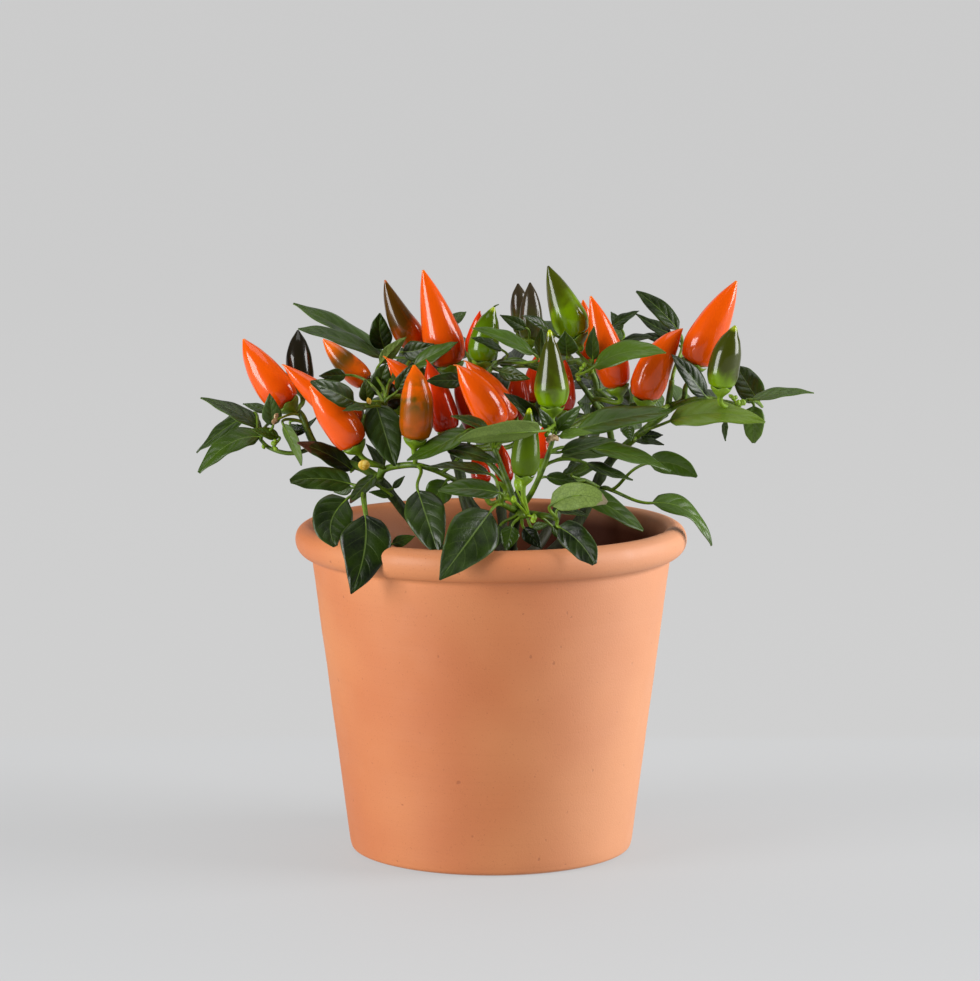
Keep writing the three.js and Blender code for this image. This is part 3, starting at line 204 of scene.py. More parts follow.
SPRAYS: dict[str, Spray] = {
    "left": Spray((
        Twig((2, 1.4), ((379, 479, -26), (362, 468, -25), (345, 462, -24), (316, 446, -20),
            (303, 418, -17), (299, 412, -16))),
        Twig((1.1, 0.8), ((316, 446, -20), (300, 452, -20), (286, 453, -20), (268, 447, -18),
            (261, 440, -17))),
        Twig((1.6, 1.1), ((379, 479, -27), (384, 470, -32), (398, 466, -38), (415, 465, -42),
            (432, 469, -42), (455, 480, -38))),
        Twig((1.3, 0.9), ((379, 479, -28), (372, 485, -40), (364, 490, -48))),
        Twig((1.4, 0.9), ((380, 476, -28), (385, 445, -28), (385, 415, -26), (386, 398, -24))),
    ), (
        Leaf((200.6, 398, -8), (262, 429, -14), 6.6, mid=(234, 411.5, -12)),
        Leaf((197, 453, 4), (250, 414, -4), 6.5),
        Leaf((199, 473, -22), (260, 437, -18), 9, 0.5, mid=(229, 444, -20)),
        Leaf((243, 404, 4), (268, 412, 0), 4),
        Leaf((269.5, 393.5, -27), (273, 425, -22), 8.6),
        Leaf((251, 429, -26), (279, 437, -21), 5),
        Leaf((301.5, 465.6, -27), (283, 424, -22), 5, 0.3, under=True),
        Leaf((317.7, 416, -26), (290, 424, -21), 5, mid=(300, 430, -25)),
        Leaf((297, 443, -34), (352, 470, -30), 8.2, 0.3, mid=(326, 453.5, -32)),
        Leaf((290, 481.5, -38), (351, 484, -36), 10, 0.9, mid=(320, 478.5, -36)),
        Leaf((350, 503, -54), (375, 476, -44), 6, 0.4),
        Leaf((335.5, 546.5, -64), (347, 499, -52), 17, 0.5, mid=(331, 522, -58),
            start=(366, 489, -48)),
        Leaf((351, 594, -76), (365, 515, -64), 21.4, mid=(364, 553, -70), start=(364, 490, -48)),
        Leaf((361, 452, -16), (352, 470, -18), 5),
        Leaf((404.7, 476, -38), (393, 488, -38), 3),
        Leaf((369, 492, -34), (391, 496, -34), 3.5),
        Leaf((334, 492, -16), (352, 488, -20), 5),
        Leaf((439, 556, -77), (418, 491, -60), 17, 0.2, start=(417, 466, -42)),
        Leaf((425, 512, -46), (446, 481, -40), 11.5),
        Leaf((407, 461, -50), (468, 430, -44), 8, 0.2, mid=(438, 446, -47), start=(440, 472, -41)),
        Leaf((395, 466, -50), (376, 405, -40), 15.5, 0.25, start=(385, 410, -26)),
        Leaf((366, 444, -34), (382, 466, -30), 4.3),
        Leaf((310.5, 381.5, -54), (354, 402, -40), 9.5, 0.4, start=(385, 412, -26)),
        Leaf((343, 411, -52), (366, 407, -44), 3.4, start=(385, 414, -26)),
        Leaf((319, 376, -16), (346, 375, -14), 6, start=(385, 405, -25)),
        Leaf((387, 364, -18), (383, 396, -16), 10, 0.4, mid=(381.5, 380.5, -17)),
        Leaf((365, 379, -22), (367.5, 402, -20), 6.6, start=(385, 408, -25)),
        Leaf((410, 365, -32), (398, 390, -28), 6, start=(386, 402, -24)),
        Leaf((298, 329, 0), (382, 358, 4), 6, 0.3, mid=(338, 338, 2), start=(386, 398, -22)),
        Leaf((293, 304, 10), (386, 357, 12), 6.4, 0.3, mid=(340, 327.5, 10), start=(386, 398, -22)),
        Leaf((406, 337, -8), (380, 364, -6), 6, start=(386, 398, -22), under=True),
        Leaf((415, 536, -62), (392, 544, -64), 5, start=(366, 489, -48)),
    )),
    "upper_left": Spray((
        Twig((1.6, 1), ((430, 388, 14), (424, 374, 12), (417, 360, 8))),
        Twig((1.4, 1), ((430, 388, 14), (440, 382, 8), (449, 376, 3))),
    ), (
        Leaf((380, 313, 8), (385, 349, 12), 10, 0.3, mid=(380, 332, 10)),
        Leaf((434, 344, -8), (403, 352, -2), 9, mid=(418, 350, -5)),
        Leaf((458, 342, -26), (413, 366, -20), 7, mid=(436, 353, -24)),
        Leaf((427, 381, -34), (463, 380, -30), 7, 0.4),
        Leaf((466, 312, 34), (449, 324, 24), 5),
        Leaf((424, 330, 60), (436, 352, 30), wide=15),
        Leaf((460, 336, 66), (452, 358, 34), wide=16),
        Leaf((398, 356, 46), (414, 362, 18), wide=14),
        Leaf((446, 352, 40), (430, 366, 18), wide=13),
    )),
    "upper": Spray((
        Twig((1.6, 1.1), ((549, 372, 8), (556, 356, 3), (566, 347, -3))),
        Twig((1.5, 1), ((549, 372, 8), (532, 366, 6), (516, 360, 2), (500, 362, -4))),
        Twig((1.4, 1), ((549, 372, 8), (541, 356, 12), (531, 350, 13))),
        Twig((1.4, 1), ((552, 364, 6), (575, 362, 12), (598, 352, 18), (616, 346, 20))),
    ), (
        Leaf((565, 331, -36), (567, 356, -28), 10),
        Leaf((542, 328, -30), (541, 358, -22), 4.7),
        Leaf((522, 315.6, -28), (550, 331, -20), 4.3),
        Leaf((472, 328, -42), (534, 354, -32), 6.2, mid=(505, 338.5, -38)),
        Leaf((471, 338, -38), (502, 350, -30), 3.8, mid=(487, 343, -34)),
        Leaf((500, 315, 2), (526, 328, 6), 5.5),
        Leaf((639, 311, 28), (612, 326, 26), 4.5),
        Leaf((611, 312, 34), (622, 330, 28), 5),
        Leaf((655, 337.5, 4), (622, 341, 10), 3.6),
        Leaf((594, 326, -30), (593, 360, -24), 6),
        Leaf((530, 379, -30), (499, 371, -22), 6.5),
        Leaf((478, 352, 60), (494, 366, 30), wide=15),
        Leaf((511, 352, 58), (519, 363, 28), wide=15),
        Leaf((560, 350, 50), (556, 366, 20), wide=14),
        Leaf((540, 320, 62), (545, 345, 36), wide=16),
        Leaf((580, 322, 70), (572, 346, 42), wide=15),
        Leaf((622, 330, 60), (600, 350, 36), wide=14),
    )),
    "front": Spray((
        Twig((1.9, 1.4), ((518, 512, -46), (523, 515, -56), (527, 515, -66))),
        Twig((1.5, 1.1), ((518, 512, -46), (508, 507, -54), (502, 504, -60))),
    ), (
        Leaf((439.5, 580, -94), (490, 512, -74), 21.5),
        Leaf((438, 491, -72), (500, 493, -66), 8.2, 0.3, mid=(468, 488.5, -70)),
        Leaf((425, 467, -58), (490, 474, -56), 4.6, mid=(460, 467, -57)),
        Leaf((549, 524, -68), (533, 527, -66), 3.6),
        Leaf((486, 552, -60), (500, 526, -52), 9),
        Leaf((541, 548, -56), (524, 528, -52), 7),
        Leaf((506, 551, -62), (512, 526, -58), 8),
    )),
    "centre": Spray((
        Twig((1.6, 1.1), ((518, 512, -46), (511, 492, -46), (502, 468, -44), (494, 448, -42))),
        Twig((1.3, 1), ((508, 484, -45), (488, 462, -38), (466, 449, -30))),
    ), (
        Leaf((500, 464, -52), (446, 448, -46), 7),
        Leaf((451, 416, -58), (490, 430, -52), 4.6),
    )),
    "middle": Spray((
        Twig((1.35, 0.9), ((518, 512, -46), (532, 492, -54), (544, 466, -60), (552, 442, -62),
            (555, 430, -62))),
    ), (
        Leaf((458, 441, -90), (540, 431, -82), 8.2, 0.7, mid=(500, 433.5, -90), under=True),
        Leaf((504, 393, -64), (540, 424, -58), 6.5),
        Leaf((539, 408, -74), (551, 431, -68), 5),
        Leaf((581.5, 405, -72), (557, 430, -66), 6.5),
        Leaf((592, 433, -76), (559, 436, -70), 4.3),
        Leaf((616, 440, -62), (561, 452, -60), 6),
        Leaf((671, 471.5, -50), (590, 449, -54), 7, mid=(632, 455.5, -52)),
        Leaf((633, 480, -58), (586, 463, -58), 4.5, mid=(611, 472.5, -58)),
        Leaf((612, 456, -30), (561, 458, -34), 5.5, mid=(586, 453.5, -32)),
        Leaf((580, 484, -52), (546, 477, -56), 5.5),
    )),
    "front_right": Spray((
        Twig((1.5, 1), ((519, 513, -47), (534, 514, -60), (548, 516, -68), (556, 519, -70))),
    ), (
        Leaf((607, 503, -84), (551, 505, -78), 11.4, 0.6, mid=(579, 495.5, -82), under=True),
        Leaf((588, 516, -74), (558, 510, -70), 3.4),
        Leaf((594.5, 564.5, -84), (559, 527, -76), 11.6, 0.9, mid=(579, 542, -80)),
        Leaf((568, 540, -52), (552, 526, -58), 5),
    )),
    "right_low": Spray((
        Twig((1.4, 0.9), ((593, 492, 8), (600, 489, 0), (606, 488, -8), (611, 490, -14))),
        Twig((1.1, 0.9), ((600, 489, 0), (592, 484, -16), (584, 480, -30))),
    ), (
        Leaf((697, 477, -36), (649, 463, -32), 9.8, 0.5, mid=(674, 464, -34)),
        Leaf((711, 546, -14), (652, 503, -20), 6.8, 0.3, mid=(689, 512, -16)),
        Leaf((643, 531, -46), (573, 488, -46), 8.6, 0.5, mid=(611, 508, -46)),
        Leaf((600, 462, -36), (572, 474, -34), 3.6),
        Leaf((604, 464, -12), (562, 477, -18), 6),
    )),
    "right": Spray((
        Twig((1.6, 1), ((612, 458, 6), (610, 432, 2), (598, 408, -6), (584, 388, -12),
            (578, 380, -15))),
    ), (
        Leaf((666, 353, -56), (594, 367, -42), 9.5, 0.15, mid=(627, 352, -50)),
        Leaf((671.5, 412, -42), (577, 430, -46), 9.8, 0.3, mid=(625, 417.5, -44)),
        Leaf((631, 441, -18), (627, 426, -14), 5.6),
    )),
    "far_right": Spray((
        Twig((1.8, 1.2), ((624, 447, 4), (648, 427, -6), (666, 411, -12), (670, 393, -16),
            (672, 380, -16))),
        Twig((1.3, 0.9), ((658, 418, -10), (682, 403, -18), (704, 398, -24), (725, 402, -26),
            (738, 404, -28), (748, 400, -26))),
        Twig((1.4, 1), ((668, 406, -14), (683, 400, -16), (686, 386, -18), (694, 378, -20))),
    ), (
        Leaf((765, 423, -46), (670, 421, -38), 11, 0.3, mid=(714, 413, -44), start=(636, 438, -1)),
        Leaf((753.5, 443, -26), (754, 406, -26), 9.2, 0.7),
        Leaf((725.5, 441, -26), (726, 420, -25), 2.6),
        Leaf((814, 393, -28), (752, 400, -28), 4.6, mid=(783, 393, -28)),
        Leaf((737, 367, 4), (759, 402, -8), 11.6, 0.7),
        Leaf((671.5, 354.5, -44), (705, 396, -36), 8.6, 0.2),
        Leaf((636, 291.5, 0), (678, 330, -4), 7.6, 0.3, mid=(658, 308, -2)),
        Leaf((636, 314, 8), (671, 334, 6), 5.2, mid=(654.5, 326, 7)),
        Leaf((640, 335, 12), (672, 342, 8), 4.6),
        Leaf((664, 445, -14), (636, 441, -8), 3),
        Leaf((663, 435, -4), (640, 436, -4), 5),
        Leaf((684, 392, 42), (676, 402, 10), wide=14),
        Leaf((654, 408, 44), (650, 420, 12), wide=14),
        Leaf((716, 396, 24), (712, 402, -4), wide=12),
    )),
    "back_left": Spray((
        Twig((1.7, 1.1), ((425, 400, 62), (428, 380, 62), (438, 366, 60))),
        Twig((1.5, 1), ((427, 388, 62), (405, 404, 58), (384, 415, 50), (362, 425, 42))),
    ), (
        Leaf((455, 372, 100), (446, 385, 70), wide=16),
        Leaf((404, 372, 88), (420, 388, 66), wide=15),
        Leaf((450, 392, 40), (434, 396, 58), wide=13),
        Leaf((392, 392, 36), (402, 404, 54), wide=13),
        Leaf((430, 392, 112), (430, 404, 76), wide=18),
        Leaf((395, 396, 92), (404, 408, 66), wide=15),
        Leaf((372, 400, 78), (385, 414, 56), wide=15),
        Leaf((348, 418, 66), (362, 426, 46), wide=14),
        Leaf((330, 404, 44), (354, 422, 36), wide=13),
        Leaf((386, 436, 82), (388, 424, 56), wide=14),
    )),
    "back": Spray((
        Twig((1.7, 1.1), ((498, 450, 76), (500, 425, 80), (506, 402, 80))),
        Twig((1.5, 1), ((498, 450, 76), (484, 440, 78), (478, 425, 78))),
        Twig((1.5, 1), ((499, 440, 78), (520, 425, 80), (540, 415, 78))),
    ), (
        Leaf((470, 398, 112), (478, 416, 84), wide=17),
        Leaf((512, 375, 114), (508, 398, 86), wide=17),
        Leaf((548, 398, 110), (542, 412, 84), wide=16),
        Leaf((500, 418, 122), (502, 424, 88), wide=18),
        Leaf((462, 424, 100), (476, 434, 80), wide=14),
        Leaf((566, 418, 96), (545, 420, 80), wide=14),
        Leaf((484, 452, 110), (494, 442, 82), wide=15),
        Leaf((530, 446, 108), (516, 434, 84), wide=15),
        Leaf((490, 372, 84), (500, 396, 74), wide=13),
        Leaf((526, 400, 58), (514, 412, 74), wide=14),
        Leaf((470, 404, 56), (484, 416, 72), wide=14),
    )),
    "back_right": Spray((
        Twig((1.7, 1.1), ((596, 405, 60), (596, 384, 60), (590, 368, 58))),
        Twig((1.5, 1), ((596, 390, 60), (612, 402, 56), (634, 405, 48), (648, 400, 42))),
    ), (
        Leaf((585, 375, 96), (592, 388, 68), wide=16),
        Leaf((618, 380, 84), (600, 390, 66), wide=14),
        Leaf((578, 402, 38), (590, 404, 56), wide=13),
        Leaf((628, 384, 34), (616, 398, 52), wide=13),
        Leaf((612, 402, 98), (606, 410, 64), wide=17),
        Leaf((646, 396, 78), (632, 406, 54), wide=15),
        Leaf((664, 400, 54), (650, 401, 42), wide=12),
        Leaf((580, 432, 98), (594, 418, 74), wide=15),
        Leaf((640, 428, 72), (622, 414, 54), wide=13),
        Leaf((568, 362, 78), (584, 376, 62), wide=13),
    )),
}

PEPPERS: tuple[Pepper, ...] = (
    Pepper("left", (243.4, 339, -10), (289, 405, -16), 15.5, -1, 0.75, Tone.ORANGE),
    Pepper("left", (284, 365, -30), (360, 424, -30), 13.8, -1, 0.5, Tone.ORANGE),
    Pepper("left", (310, 386, -46), (355, 446, -44), 15.4, 0.8, 1.1, Tone.ORANGE),
    Pepper("left", (298, 330, -2), (301.5, 388, -6), 12, -0.4, 1, Tone.BLACK),
    Pepper("left", (323, 339, -8), (367, 383, -10), 10.8, -0.4, 0.8, Tone.AMBER),
    Pepper("upper_left", (385, 280, 5), (418, 347, 5), 12.8, -1.6, 0.3, Tone.BROWN),
    Pepper("upper_left", (423, 270, 0), (451, 366, 0), 17.6, -0.2, 0.25, Tone.ORANGE),
    Pepper("left", (386, 358, -24), (422, 390, -22), 9.5, 0, 0.3, Tone.ORANGE),
    Pepper("left", (414, 365, -46), (415, 440, -44), 14.4, 0.9, 1.2, Tone.AMBER),
    Pepper("centre", (428, 362, -24), (448, 432, -25), 12.9, 0, 0.8, Tone.RED),
    Pepper("centre", (455, 380, -18), (482, 432, -20), 12, 0, 0.6, Tone.RED),
    Pepper("centre", (457.4, 365.5, -55), (498, 427, -53), 14.6, 0.8, 0.8, Tone.ORANGE),
    Pepper("centre", (466.6, 361.7, -36), (508, 424, -36), 14.6, 0.6, 0.8, Tone.ORANGE),
    Pepper("centre", (517, 370, -14), (518, 425, -16), 10.6, 0, 0.8, Tone.RED),
    Pepper("upper", (494, 307, -20), (482, 362, -20), 13.3, -1, 0.8, Tone.GREEN),
    Pepper("upper", (480, 311, -2), (472, 354, 0), 7.6, 0, 0.5, Tone.RED),
    Pepper("upper", (518, 283.5, 20), (522, 334, 20), 8.2, 0, 1.6, Tone.OLIVE),
    Pepper("upper", (530, 282.5, 6), (530, 340, 6), 10.6, 0.4, 0.8, Tone.OLIVE),
    Pepper("upper", (548, 266, -15), (577, 337, -15), 15.6, -0.2, 0.35, Tone.DARK_GREEN),
    Pepper("upper", (583, 300, 6), (590, 360, 6), 10.5, 0, 0.4, Tone.ORANGE),
    Pepper("middle", (549.6, 329.7, -60), (552, 408, -60), 14.8, 0.2, 0.15, Tone.DARK_GREEN),
    Pepper("right", (565, 360, -20), (562, 412, -22), 11, 0, 0.7, Tone.RED),
    Pepper("right", (590.5, 296, -20), (618, 388, -20), 14.6, 0.3, 0.4, Tone.ORANGE),
    Pepper("far_right", (682, 329, -28), (644.5, 400, -26), 15.4, -2.8, 0.8, Tone.ORANGE),
    Pepper("far_right", (736.5, 281, -30), (693, 364.5, -30), 16.5, -0.2, 0.45, Tone.ORANGE),
    Pepper("far_right", (735.4, 325.6, -48), (721, 388, -46), 13.3, -0.9, 1, Tone.DARK_GREEN),
    Pepper("front", (529.5, 408, -78), (524, 477, -78), 12, 0, 0.6, Tone.PALE_GREEN),
    Pepper("centre", (502, 445, -30), (505, 482, -30), 8, 0, 0.6, Tone.RED),
    Pepper("centre", (475, 450, -14), (483, 484, -16), 8.6, 0, 0.6, Tone.RED),
    Pepper("middle", (544, 425, -40), (541, 460, -42), 8, 0, 0.4, Tone.RED),
    Pepper("left", (380, 380, -2), (399, 408, -4), 11, 0, 0.7, Tone.BLACK),
    Pepper("back_left", (436, 300, 50), (444, 358, 54), 13, 0, 0.4, Tone.RED),
    Pepper("back_left", (390, 360, 66), (398, 397, 72), 12, 0, 0.6, Tone.ORANGE),
    Pepper("back_left", (320, 392, 36), (352, 430, 42), 12, 0, 0.3, Tone.ORANGE),
    Pepper("back", (484, 366, 92), (482, 414, 86), 13, 0, 0.8, Tone.DARK_GREEN),
    Pepper("back", (540, 350, 88), (536, 404, 84), 14, 0, 0.5, Tone.RED),
    Pepper("back_right", (600, 312, 60), (592, 366, 60), 13, 0, 0.2, Tone.ORANGE),
    Pepper("back_right", (650, 352, 44), (642, 394, 46), 12, 0, 0.6, Tone.ORANGE),
)

BUDS = (
    Bud("left", (364, 465, -46), 4.6, 1, Finish.PETAL, (383, 471, -33)),
    Bud("left", (369, 401, -34), 2.2, 1, Finish.PETAL),
    Bud("left", (274, 420, -30), 2.0, 3, Finish.WITHERED),
    Bud("left", (275, 444, -24), 1.9, 4, Finish.SHOOT),
    Bud("left", (264, 447, -20), 1.7, 2, Finish.SHOOT),
    Bud("front", (516, 489, -84), 3.4, 2, Finish.SHOOT),
    Bud("front", (513, 499, -82), 2.2, 2, Finish.SHOOT),
    Bud("front", (534, 517, -76), 2.4, 2, Finish.SHOOT),
    Bud("middle", (551, 440, -72), 2.3, 4, Finish.WITHERED),
    Bud("middle", (548, 431, -70), 1.9, 3, Finish.SHOOT),
    Bud("far_right", (741, 403, -36), 2.3, 5, Finish.SHOOT),
    Bud("far_right", (733, 398, -32), 1.9, 3, Finish.SHOOT),
    Bud("right", (584, 366, -26), 1.9, 3, Finish.SHOOT),
    Bud("right", (578, 378, -24), 1.8, 3, Finish.SHOOT),
    Bud("upper", (553, 352, -20), 1.8, 3, Finish.SHOOT),
)

# Leaves whose face stands out, by spray and row. Each lightness is set leaf by leaf: partly the
# leaf's own tone, partly painted light and shade, lighter for sheen and light through the blade,
# darker for shade.
MARKS: dict[str, dict[int, Mark]] = {
    "left": {0: Mark(0.45), 1: Mark(0.3), 2: Mark(0.5), 5: Mark(1.0), 8: Mark(0.1, 0.74),
        9: Mark(0.35), 10: Mark(0.3, 0.9), 11: Mark(0.2), 12: Mark(0.1), 17: Mark(0.25),
        19: Mark(0.75), 20: Mark(0.35), 22: Mark(0.3), 28: Mark(0.5), 29: Mark(0.6)},
    "upper": {3: Mark(0.8), 2: Mark(0.2)},
    "upper_left": {2: Mark(0.55)},
    "front": {0: Mark(0.2), 1: Mark(0.5), 2: Mark(0.2)},
    "middle": {0: Mark(0.6), 1: Mark(0.1), 3: Mark(0.6), 4: Mark(1.2), 6: Mark(0.7)},
    "front_right": {0: Mark(0.8, 0.86), 2: Mark(0.1)},
    "right_low": {0: Mark(0.8), 1: Mark(0.8), 2: Mark(0.4)},
    "right": {0: Mark(1.1), 1: Mark(0.9)},
    "far_right": {0: Mark(1.6), 1: Mark(1.1), 3: Mark(0.9), 4: Mark(0.4), 5: Mark(0.1),
        6: Mark(0.2)},
}

# By a pepper's index: the thin style that ends it, as (length, sideways lean) in mm, and how
# marked its bright nub is.
STYLES = {1: (1.4, -0.6), 7: (1.8, -0.2), 9: (1.6, -0.6), 11: (1.6, -1.2), 12: (1.6, -0.8),
          14: (2.2, 1.6), 23: (1.0, 0.2), 28: (1.2, 0.3)}
NUBS = {14: 0.8, 20: 1.0, 25: 0.7, 26: 1.0}

# Pot wall as (radius, height), from the underside out, over the rolled lip and down inside.
POT_WALL = (
    (0, 0), (58, 0), (60.8, 1.2), (61.7, 4), (77.9, 129.4), (81.2, 130), (84.1, 133), (85, 137),
    (83.7, 140.8), (80, 143), (76.6, 141.9), (74.6, 138.6), (71.6, 127), (56.6, 11.4), (53.4, 8),
    (0, 8),
)

# Half width along a blade, and radius along a fruit, as (share of length, share of most on a slim
# one, share of most on a full one).
BLADE_OUTLINE = (
    (0, 0.06, 0.06), (0.11, 0.66, 0.82), (0.34, 1, 1), (0.74, 0.56, 0.88), (1, 0.03, 0.2),
)
FRUIT_OUTLINE = (
    (0, 0.36, 0.36), (0.06, 0.78, 0.82), (0.24, 1, 1), (0.5, 0.76, 0.94), (0.78, 0.4, 0.62),
    (1, 0.05, 0.07),
)
# A calyx from its foot to its rim and back inside, as (height in mm, share of its radius).
CALYX_OUTLINE = (
    (0.6, 0.34), (1.3, 0.5), (2.1, 0.7), (2.9, 0.86), (3.6, 0.96), (4.3, 1.04), (4.7, 1.06),
    (4.4, 0.98), (3.6, 0.6),
)

# A blade's least width by its length, its fold in radians, its arch by its length, and its
# thickness in mm.
BLADE_RATIO = 0.4
BLADE_FOLD = 0.22
BLADE_ARCH = 0.05
BLADE_THICKNESS = 0.7
# How far a stalk runs straight at its ends, by its length, and the steps of a twig's curve.
ARC_REACH = 0.36
FINE_STEPS = 24
# Radius of a pedicel and height of a calyx in mm, and a calyx's width by its pepper's.
PEDICEL_RADIUS = 1.05
CALYX_HEIGHT = 4.2
CALYX_RATIO = 0.66


def unit(vectors: Array) -> Array:
    """Vectors divided by their lengths."""
    return vectors / np.maximum(np.linalg.norm(vectors, axis=-1, keepdims=True), 1e-12)


def square(vectors: Array, axes: Array) -> Array:
    """Part of vectors square to unit axes, made unit: v minus (v . a) times a."""
    return unit(vectors - np.sum(vectors * axes, axis=-1, keepdims=True) * axes)


def turns(count: int) -> Array:
    """Angles of equal steps around, in radians."""
    return 2 * np.pi * np.arange(count) / count


def spun(radius: Array, height: Array, count: int) -> Array:
    """Rings about the upright axis: (radius cos a, radius sin a, height) at equal turns a."""
    turn = turns(count)
    return np.stack((radius * np.cos(turn), radius * np.sin(turn), height + 0 * turn), axis=-1)


def fact(first: float) -> Array:
    """The facts of a skin where only the first number matters."""
    return np.array((first, 0.0, 0.0))


def runs(points: Array) -> Array:
    """Way that a row of points runs at each: from the point before to the point after.

    Args:
        points: The points, (m, 3).

    Returns:
        Unit ways, (m, 3).
    """
    index = np.arange(len(points))
    after = points[np.minimum(index + 1, len(points) - 1)]
    return unit(after - points[np.maximum(index - 1, 0)])


def smooth(low: float, high: float, value: Array) -> Array:
    """Rise from 0 at low to 1 at high: s squared times (3 - 2 s)."""
    share = np.clip((value - low) / (high - low), 0.0, 1.0)
    return share * share * (3 - 2 * share)


def bell(value: Array, middle: float, spread: float) -> Array:
    """Hump of height 1: exp of minus the square of (value - middle) / spread."""
    return np.exp(-(((value - middle) / spread) ** 2))


def outline_of(table: Sequence[Sequence[float]], full: float) -> Array:
    """A table's outline, as (share of length, share of most), that is full from 0 to 1."""
    shares, slim, plump = np.array(table, dtype=float).T
    return np.column_stack((shares, slim + (plump - slim) * full))


def eased(table: Array, at: Array) -> Array:
    """Smooth curve through a table that doesn't overshoot.

    A cubic runs between neighbours, its slope at each the harmonic mean of the slopes beside it.

    Args:
        table: Points as (where, value), where rising.
        at: Where the curve is read.

    Returns:
        The curve's values.
    """
    x, y = np.array(table, dtype=float).T
    gap = np.diff(x)
    slope = np.diff(y) / gap
    lean = np.concatenate((slope[:1], np.zeros(len(x) - 2), slope[-1:]))
    product = slope[1:] * slope[:-1]
    total = np.where(product > 0, slope[1:] + slope[:-1], 1.0)
    lean[1:-1] = np.where(product > 0, 2 * product / total, 0.0)
    k = np.clip(np.searchsorted(x, at, side="right") - 1, 0, len(gap) - 1)
    s = (at - x[k]) / gap[k]
    return (y[k] * (2 * s**3 - 3 * s**2 + 1) + lean[k] * gap[k] * (s**3 - 2 * s**2 + s)
            + y[k + 1] * (3 * s**2 - 2 * s**3) + lean[k + 1] * gap[k] * (s**3 - s**2))


def through(points: Array, steps: int) -> Array:
    """Centripetal Catmull-Rom curve through points.

    Each span is a cubic whose end slopes weigh its neighbours by the square root of distance.
    Both ends are carried on by a mirrored point.

    Args:
        points: The points to pass, (n, 3).
        steps: Number of equal shares of the parameter.

    Returns:
        Points on the curve, (steps + 1, 3).
    """
    ends = (2 * points[:1] - points[1:2], points, 2 * points[-1:] - points[-2:-1])
    knots = np.concatenate(ends)
    at = np.linspace(0, len(points) - 1, steps + 1)
    k = np.minimum(at.astype(int), len(points) - 2)
    s = (at - k)[:, None]
    p0, p1, p2, p3 = (knots[k + i] for i in range(4))
    d0, d1, d2 = (np.sqrt(np.linalg.norm(b - a, axis=1, keepdims=True))
                  for a, b in ((p0, p1), (p1, p2), (p2, p3)))
    t1 = ((p1 - p0) / d0 - (p2 - p0) / (d0 + d1) + (p2 - p1) / d1) * d1
    t2 = ((p2 - p1) / d1 - (p3 - p1) / (d1 + d2) + (p3 - p2) / d2) * d1
    return (p1 + t1 * s + (3 * (p2 - p1) - 2 * t1 - t2) * s**2
            + (2 * (p1 - p2) + t1 + t2) * s**3)


def arc(p: Array, leave: Array, q: Array, arrive: Array, steps: int) -> Array:
    """Cubic Bezier from p to q that leaves and arrives along given ways.

    Args:
        p: Start.
        leave: Unit way at the start.
        q: End.
        arrive: Unit way at the end.
        steps: Number of equal shares.

    Returns:
        Points on the curve, (steps + 1, 3).
    """
    reach = np.linalg.norm(q - p) * ARC_REACH
    t = np.linspace(0, 1, steps + 1)[:, None]
    first, second = p + leave * reach, q - arrive * reach
    return ((1 - t)**3 * p + 3 * (1 - t)**2 * t * first + 3 * (1 - t) * t**2 * second
            + t**3 * q)


def hoops(path: Array, radii: Array, sides: int) -> Array:
    """Rings about a path: p + r (u cos a + w sin a), with u and w square to the path.

    Args:
        path: Points of the path, (m, 3).
        radii: Radius of each ring, (m,), or of each of its points, (m, sides).
        sides: Points on a ring.

    Returns:
        Rings that go anticlockwise about the path's way, (m, sides, 3).
    """
    ways = runs(path)
    worst = [np.abs(ways @ axis).max() for axis in (SIDE, FRONT, UP)]
    u = square(np.broadcast_to((SIDE, FRONT, UP)[int(np.argmin(worst))], ways.shape), ways)
    w = np.cross(ways, u)
    turn = turns(sides)
    radii = np.broadcast_to(np.reshape(radii, (len(path), -1)), (len(path), sides))[..., None]
    return (path[:, None] + radii * (u[:, None] * np.cos(turn)[:, None]
                                     + w[:, None] * np.sin(turn)[:, None]))


@dataclass(frozen=True)
class Bow:
    """Quadratic Bezier curve from base to tip that passes a middle point."""

    base: Array
    middle: Array
    tip: Array

    @property
    def control(self) -> Array:
        """The curve's middle control: 2 middle - tip / 2 - base / 2."""
        return 2 * self.middle - 0.5 * self.tip - 0.5 * self.base

    def points(self, t: Array) -> Array:
        """Points at shares t of the curve: (1-t)^2 base + 2 (1-t) t control + t^2 tip."""
        t = np.asarray(t, dtype=float)[..., None]
        return (1 - t)**2 * self.base + 2 * (1 - t) * t * self.control + t**2 * self.tip

    def ways(self, t: Array) -> Array:
        """Unit ways at shares t of the curve: the curve's first derivative, made unit."""
        t = np.asarray(t, dtype=float)[..., None]
        return unit((1 - t) * (self.control - self.base) + t * (self.tip - self.control))


